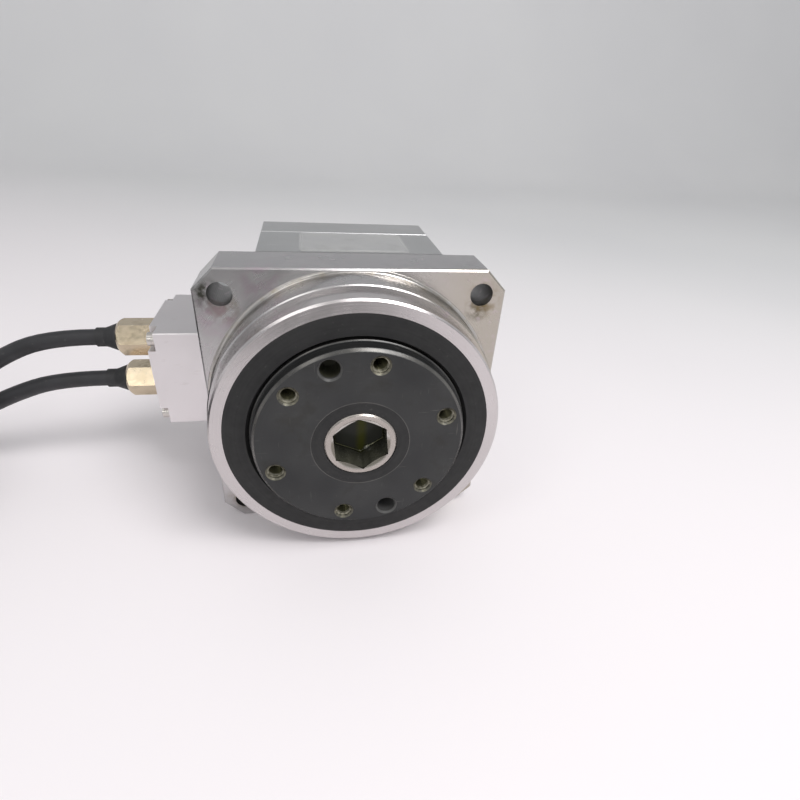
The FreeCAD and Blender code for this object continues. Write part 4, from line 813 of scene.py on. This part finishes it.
CABLE = 0.007
CABLE_ROUNDNESS = 5
CABLE_STEPS = 6
MOTOR_EXIT = (-0.106, 0.046, 0.010)
ENCODER_EXIT = (-0.106, 0.046, -0.010)
OUTER_TURN = 0.0445
INNER_TURN = OUTER_TURN - CABLE
COIL_X = -0.222
COIL_Y = MOTOR_EXIT[1] - OUTER_TURN
LAYER_PITCH = 0.0073
LAYER_COUNT = 6
LAYERS = [FLOOR_Z + LAYER_PITCH * (number + 0.5) for number in range(LAYER_COUNT)]
SLOT_TURN = 320
MOVE_TURN = 80
STEP = 20
COIL_START = 90
# Share of its own point in a spline of order 3, where it passes that point
OWN_SHARE = 0.75
MOTOR_COIL_END = 1680
ENCODER_COIL_END = 1780


def coil_points(slots, end):
    """Turns of a coil through slots of radius and height, with a smooth move to each next slot."""
    reach = 1 / (OWN_SHARE + (1 - OWN_SHARE) * math.cos(math.radians(STEP)))
    points = []
    for angle in range(STEP, end + 1, STEP):
        number = min(angle // SLOT_TURN, len(slots) - 1)
        radius, height = slots[number]
        past = (angle - number * SLOT_TURN - (SLOT_TURN - MOVE_TURN)) / MOVE_TURN
        if past > 0 and number + 1 < len(slots):
            share = past * past * (3 - 2 * past)
            radius += (slots[number + 1][0] - radius) * share
            height += (slots[number + 1][1] - height) * share
        way = math.radians(COIL_START + angle)
        x = COIL_X + radius * reach * math.cos(way)
        y = COIL_Y + radius * reach * math.sin(way)
        points.append((x, y, height))
    return points


def lead(name, points):
    curve = bpy.data.curves.new(name, "CURVE")
    curve.dimensions = "3D"
    curve.bevel_depth = CABLE / 2
    curve.bevel_resolution = CABLE_ROUNDNESS
    curve.resolution_u = CABLE_STEPS
    spline = curve.splines.new("NURBS")
    spline.points.add(len(points) - 1)
    for point, place in zip(spline.points, points):
        point.co = (*place, 1.0)
    spline.order_u = 3
    spline.use_endpoint_u = True
    curve.use_fill_caps = True
    curve.materials.append(LOOKS["cable_jacket"])
    made = bpy.data.objects.new(name, curve)
    scene.collection.objects.link(made)
    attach(made, "housing")
    return made


MOTOR_WAY = [
    MOTOR_EXIT, (-0.126, 0.046, 0.010), (-0.148, 0.046, 0.0005), (-0.170, 0.0465, -0.016),
    (-0.190, 0.0462, -0.0268), (-0.206, 0.046, -0.02945), (-0.222, 0.046, -0.02945),
]
MOTOR_SLOTS = [
    (OUTER_TURN, LAYERS[3]), (INNER_TURN, LAYERS[3]), (INNER_TURN, LAYERS[4]),
    (OUTER_TURN, LAYERS[4]), (OUTER_TURN, LAYERS[5]), (INNER_TURN, LAYERS[5]),
]
MOTOR_END = [
    (-0.1845, -0.0051, -0.0147), (-0.1845, 0.0081, -0.0138), (-0.1890, 0.0206, -0.0118),
    (-0.1975, 0.0317, -0.0098), (-0.2085, 0.0410, -0.0085), (-0.2200, 0.0478, -0.0078),
    (-0.2330, 0.0505, -0.0072), (-0.2458, 0.0476, -0.0066), (-0.2567, 0.0391, -0.0056),
    (-0.2628, 0.0266, -0.0044), (-0.2630, 0.0195, -0.0042),
]
ENCODER_WAY = [
    ENCODER_EXIT, (-0.126, 0.046, -0.010), (-0.148, 0.046, -0.0175), (-0.170, 0.0455, -0.029),
    (-0.190, 0.0458, -0.0358), (-0.206, 0.046, -0.03675), (-0.222, 0.046, -0.03675),
]
ENCODER_SLOTS = [
    (OUTER_TURN, LAYERS[2]), (INNER_TURN, LAYERS[2]), (INNER_TURN, LAYERS[1]),
    (INNER_TURN, LAYERS[0]), (OUTER_TURN, LAYERS[0]), (OUTER_TURN, LAYERS[1]),
]
ENCODER_END = [
    (-0.2205, 0.0520, -0.0446), (-0.2345, 0.0560, -0.0460), (-0.2495, 0.0545, -0.0480),
    (-0.2625, 0.0480, -0.0500), (-0.2720, 0.0380, -0.0500), (-0.2778, 0.0260, -0.0490),
    (-0.2783, 0.0195, -0.0480),
]
motor_turns = coil_points(MOTOR_SLOTS, MOTOR_COIL_END)
encoder_turns = coil_points(ENCODER_SLOTS, ENCODER_COIL_END)
motor_lead = lead("motor_lead", MOTOR_WAY + motor_turns + MOTOR_END)
encoder_lead = lead("encoder_lead", ENCODER_WAY + encoder_turns + ENCODER_END)
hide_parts("motor_cable", "motor_cable_coil")
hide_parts("encoder_cable", "encoder_cable_coil")


# Tape ties round the coils

TAPE = 0.00009
TAPE_GAP = 0.00003
TAPE_HALF_ANGLE = 6
TAPE_ANGLES = (128, 192)
TAPE_STEPS = (-1, -0.5, 0, 0.5, 1)


def strap_look():
    look = surface("tie_tape", tones=((0.03, 0.03, 0.032), (0.05, 0.05, 0.052)),
                   rough=(0.45, 0.6), patch=120.0, grain=900.0, dent=0.4, depth=0.00006)
    look.bump(look.bands(pitch=0.0009, axis="Z"), strength=0.4, depth=0.0001)
    return finished(look)


def tape(bottom, top, angle):
    """A band of tape round one coil's section, with an inner and an outer skin."""
    middle = (bottom + top) / 2
    middle_turn = (OUTER_TURN + INNER_TURN) / 2
    wide = OUTER_TURN - INNER_TURN + CABLE + 2 * TAPE_GAP
    skin = rounded(wide, top - bottom + 2 * TAPE_GAP, CABLE / 2)
    count = len(skin)
    points, faces = [], []
    for step in TAPE_STEPS:
        way = math.radians(angle + step * TAPE_HALF_ANGLE)
        for grow in (1.0, 1.0 + 2 * TAPE / (top - bottom)):
            for across, up in skin:
                radius = middle_turn + across * grow
                x = COIL_X + radius * math.cos(way)
                y = COIL_Y + radius * math.sin(way)
                points.append((x, y, middle + up * grow))
    strips = len(TAPE_STEPS) - 1
    for strip in range(strips):
        for number in range(count):
            after = (number + 1) % count
            low, up = 2 * count * strip, 2 * count * (strip + 1)
            faces.append([low + number, up + number, up + after, low + after])
            low, up = low + count, up + count
            faces.append([low + number, low + after, up + after, up + number])
    for low, flip in ((0, 1), (2 * count * strips, -1)):
        up = low + count
        for number in range(count):
            after = (number + 1) % count
            faces.append([low + number, low + after, up + after, up + number][::flip])
    return points, faces


TIE_LOOK = strap_look()


def ties(name, slots):
    bottom = min(height for radius, height in slots) - CABLE / 2
    top = max(height for radius, height in slots) + CABLE / 2
    bands = joined(*(tape(bottom, top, angle) for angle in TAPE_ANGLES))
    return piece(name, *bands, TIE_LOOK, "housing", "cable_jacket")


# Connector details: a latch, grip ribs, tail rings and contact sockets

LATCH_WIDTH = 0.006
LATCH_LENGTH = 0.018
LATCH_CORNER = 0.001
LATCH_LEVELS = ((0.0, 0.0), (0.0006, 0.0), (0.0009, 0.0003))
LATCH_SINK = 0.0003
LATCH_FROM_NOSE = 0.025
RIBS = 5
RIB_WIDTH = 0.0012
RIB_HEIGHT = 0.009
RIB_CORNER = 0.0005
RIB_LEVELS = ((0.0, 0.0), (0.0004, 0.0), (0.0006, 0.0002))
RIB_SINK = 0.0002
RIBS_FROM_NOSE = 0.0205
RIB_PITCH = 0.0024
TAIL_RINGS = 3
TAIL_RING = 0.0051
TAIL_RING_SIDES = 24
TAIL_RING_LEVELS = ((0.0, 0.0003), (0.0003, 0.0), (0.0009, 0.0), (0.0012, 0.0003))
RINGS_FROM_TAIL = 0.006
TAIL_RING_PITCH = 0.002
CONTACT = 0.0016
CONTACT_CORNER = 0.0003
CONTACT_LEVELS = (
    (0.0, 0.0), (0.0004, 0.0), (0.0005, 0.0001), (0.0005, 0.0004), (0.0001, 0.0005),
)
CONTACT_SINK = 0.0004
CONTACT_PITCH_X = 0.0026
CONTACT_PITCH_Z = 0.004
CONTACT_COLUMNS = (-1.5, -0.5, 0.5, 1.5)
CONTACT_ROWS = (-0.5, 0.5)


def latch(low, middle, high):
    outline = rounded(LATCH_WIDTH, LATCH_LENGTH, LATCH_CORNER)
    return layered(outline, LATCH_LEVELS, lambda x, y, z: (
        middle.x + x, low.y + LATCH_FROM_NOSE + y, high.z + z - LATCH_SINK))


def rib(low, middle, wall, side, number):
    start = low.y + RIBS_FROM_NOSE + RIB_PITCH * number
    outline = rounded(RIB_WIDTH, RIB_HEIGHT, RIB_CORNER)
    return layered(outline, RIB_LEVELS, lambda x, y, z: (
        wall + side * (z - RIB_SINK), start + x, middle.z + y))


def tail_ring(middle, high, number):
    start = high.y - RINGS_FROM_TAIL + TAIL_RING_PITCH * number
    outline = []
    for step in range(TAIL_RING_SIDES):
        turn = 2 * math.pi * step / TAIL_RING_SIDES
        outline.append((TAIL_RING * math.cos(turn), TAIL_RING * math.sin(turn)))
    return layered(outline, TAIL_RING_LEVELS, lambda x, y, z: (
        middle.x + x, start + z, middle.z + y))


def contact(low, middle, across, up):
    outline = rounded(CONTACT, CONTACT, CONTACT_CORNER)
    return layered(outline, CONTACT_LEVELS, lambda x, y, z: (
        middle.x + CONTACT_PITCH_X * across + x, low.y + CONTACT_SINK - z,
        middle.z + CONTACT_PITCH_Z * up + y))


def connector_details(name, node):
    """The connector's node and the pieces that are made on it."""
    low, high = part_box(node)
    middle = (low + high) / 2
    parts = [latch(low, middle, high)]
    for side, wall in ((-1, low.x), (1, high.x)):
        parts += [rib(low, middle, wall, side, number) for number in range(RIBS)]
    parts += [tail_ring(middle, high, number) for number in range(TAIL_RINGS)]
    grips = piece(
        name + "_grips", *joined(*parts), LOOKS["connector_plastic"], "housing", "connector_plastic")
    sockets = []
    for across in CONTACT_COLUMNS:
        sockets += [contact(low, middle, across, up) for up in CONTACT_ROWS]
    contacts = piece(
        name + "_contacts", *joined(*sockets), LOOKS["gland_metal"], "housing", "gland_metal")
    return [nodes[node], grips, contacts]


connector_details("motor", "motor_connector")
ties("motor_ties", MOTOR_SLOTS)
connector_details("encoder", "encoder_connector")
ties("encoder_ties", ENCODER_SLOTS)


# Floor that sweeps up into a backdrop, pale near the part, with painted shade that makes it greyer
# away from it

SWEEP_START = 0.9
SWEEP_RADIUS = 0.5
SWEEP_STEPS = 16
WALL_TOP = 0.6
HALF_WIDTH = 4.0
FLOOR_FRONT = -3.0
AWAY_X = 0.6
AWAY_SPAN = (-0.05, 0.8)


def stage_piece(name, points, faces, material):
    mesh = bpy.data.meshes.new(name)
    mesh.from_pydata(points, [], faces)
    mesh.materials.append(material)
    made = bpy.data.objects.new(name, mesh)
    scene.collection.objects.link(made)
    return made


def floor_look():
    look = Look("pale_floor", roughness=0.55, specular=0.3)
    patches = look.spots(scale=3.0, detail=2.0)
    near = look.mix(patches, rgb(0.91, 0.87, 0.89), rgb(0.93, 0.89, 0.91))
    # Painted shade: the floor turns greyer away from the part, towards the back and right.
    far_shade = look.mix(patches, rgb(0.72, 0.72, 0.73), rgb(0.75, 0.75, 0.755))
    away = look.math("ADD", look.axis(1), look.product(look.axis(0), AWAY_X))
    away = look.add("MapRange", [away, *AWAY_SPAN, 0.0, 1.0], interpolation_type="SMOOTHSTEP")
    look.set("Base Color", look.mix(away, near, far_shade))
    return look.material


profile = [(FLOOR_FRONT, FLOOR_Z)]
for step in range(SWEEP_STEPS + 1):
    angle = math.radians(90 * step / SWEEP_STEPS)
    profile.append((
        SWEEP_START + SWEEP_RADIUS * math.sin(angle), FLOOR_Z + SWEEP_RADIUS * (1 - math.cos(angle))))
profile.append((SWEEP_START + SWEEP_RADIUS, WALL_TOP))
floor = stage_piece(
    "floor", [(x, y, z) for y, z in profile for x in (-HALF_WIDTH, HALF_WIDTH)],
    [(2 * n, 2 * n + 1, 2 * n + 3, 2 * n + 2) for n in range(len(profile) - 1)], floor_look())
floor.data.shade_smooth()


# Grey card for the metal to mirror, like the darker room in the photograph, and unseen otherwise

CARD_LEFT = -0.6
CARD_RIGHT = 0.06
CARD_FRONT = -1.4
CARD_BACK = -0.20
CARD_LIFT = 0.002
CARD_Z = FLOOR_Z + CARD_LIFT


def card_look():
    look = Look("grey_card", roughness=0.8)
    patches = look.spots(scale=4.0, detail=2.0)
    look.set("Base Color", look.mix(patches, rgb(0.27, 0.27, 0.27), rgb(0.33, 0.33, 0.33)))
    return look.material


card = stage_piece("front_card", [
    (CARD_LEFT, CARD_BACK, CARD_Z), (CARD_RIGHT, CARD_BACK, CARD_Z),
    (CARD_RIGHT, CARD_FRONT, CARD_Z), (CARD_LEFT, CARD_FRONT, CARD_Z)], [(3, 2, 1, 0)], card_look())
card.visible_camera = False
card.visible_shadow = False
card.visible_diffuse = False


# Room light: bright low down, dim walls and a paler ceiling

HORIZON = (0.12, rgb(0.86, 0.86, 0.87))
WALLS = (0.5, rgb(0.36, 0.37, 0.38))
CEILING = (0.95, rgb(0.58, 0.58, 0.58))

world = bpy.data.worlds.new("studio")
scene.world = world
world.use_nodes = True
sky = world.node_tree
way_up = sky.nodes.new("ShaderNodeTexCoord")
parted = sky.nodes.new("ShaderNodeSeparateXYZ")
ramp = sky.nodes.new("ShaderNodeValToRGB")
sky.links.new(way_up.outputs["Generated"], parted.inputs[0])
sky.links.new(parted.outputs[2], ramp.inputs[0])
sky.links.new(ramp.outputs[0], sky.nodes["Background"].inputs["Color"])
stops = ramp.color_ramp.elements
stops[0].position, stops[0].color = HORIZON
stops[1].position, stops[1].color = WALLS
stops.new(CEILING[0]).color = CEILING[1]


# Lamps

def lamp(name, place, aim, width, height, power, tint):
    light = bpy.data.lights.new(name, "AREA")
    light.shape = "RECTANGLE"
    light.size = width
    light.size_y = height
    light.energy = power
    light.color = tint
    made = bpy.data.objects.new(name, light)
    made.location = place
    made.rotation_euler = (Vector(aim) - Vector(place)).to_track_quat("-Z", "Y").to_euler()
    scene.collection.objects.link(made)


lamp("key_light", place=(0.45, -0.47, 1.10), aim=(0.0, 0.0, 0.0),
     width=0.62, height=0.60, power=9.8, tint=(1.0, 0.985, 0.985))
lamp("left_light", place=(-0.66, -0.45, 0.96), aim=(0.0, 0.0, 0.0),
     width=0.36, height=0.55, power=1.2, tint=(1.0, 0.985, 0.97))
lamp("low_light", place=(-0.47, -1.30, 0.68), aim=(-0.05, 0.0, 0.0),
     width=0.7, height=0.16, power=1.3, tint=(1.0, 0.98, 0.94))

scene.view_settings.view_transform = "Standard"
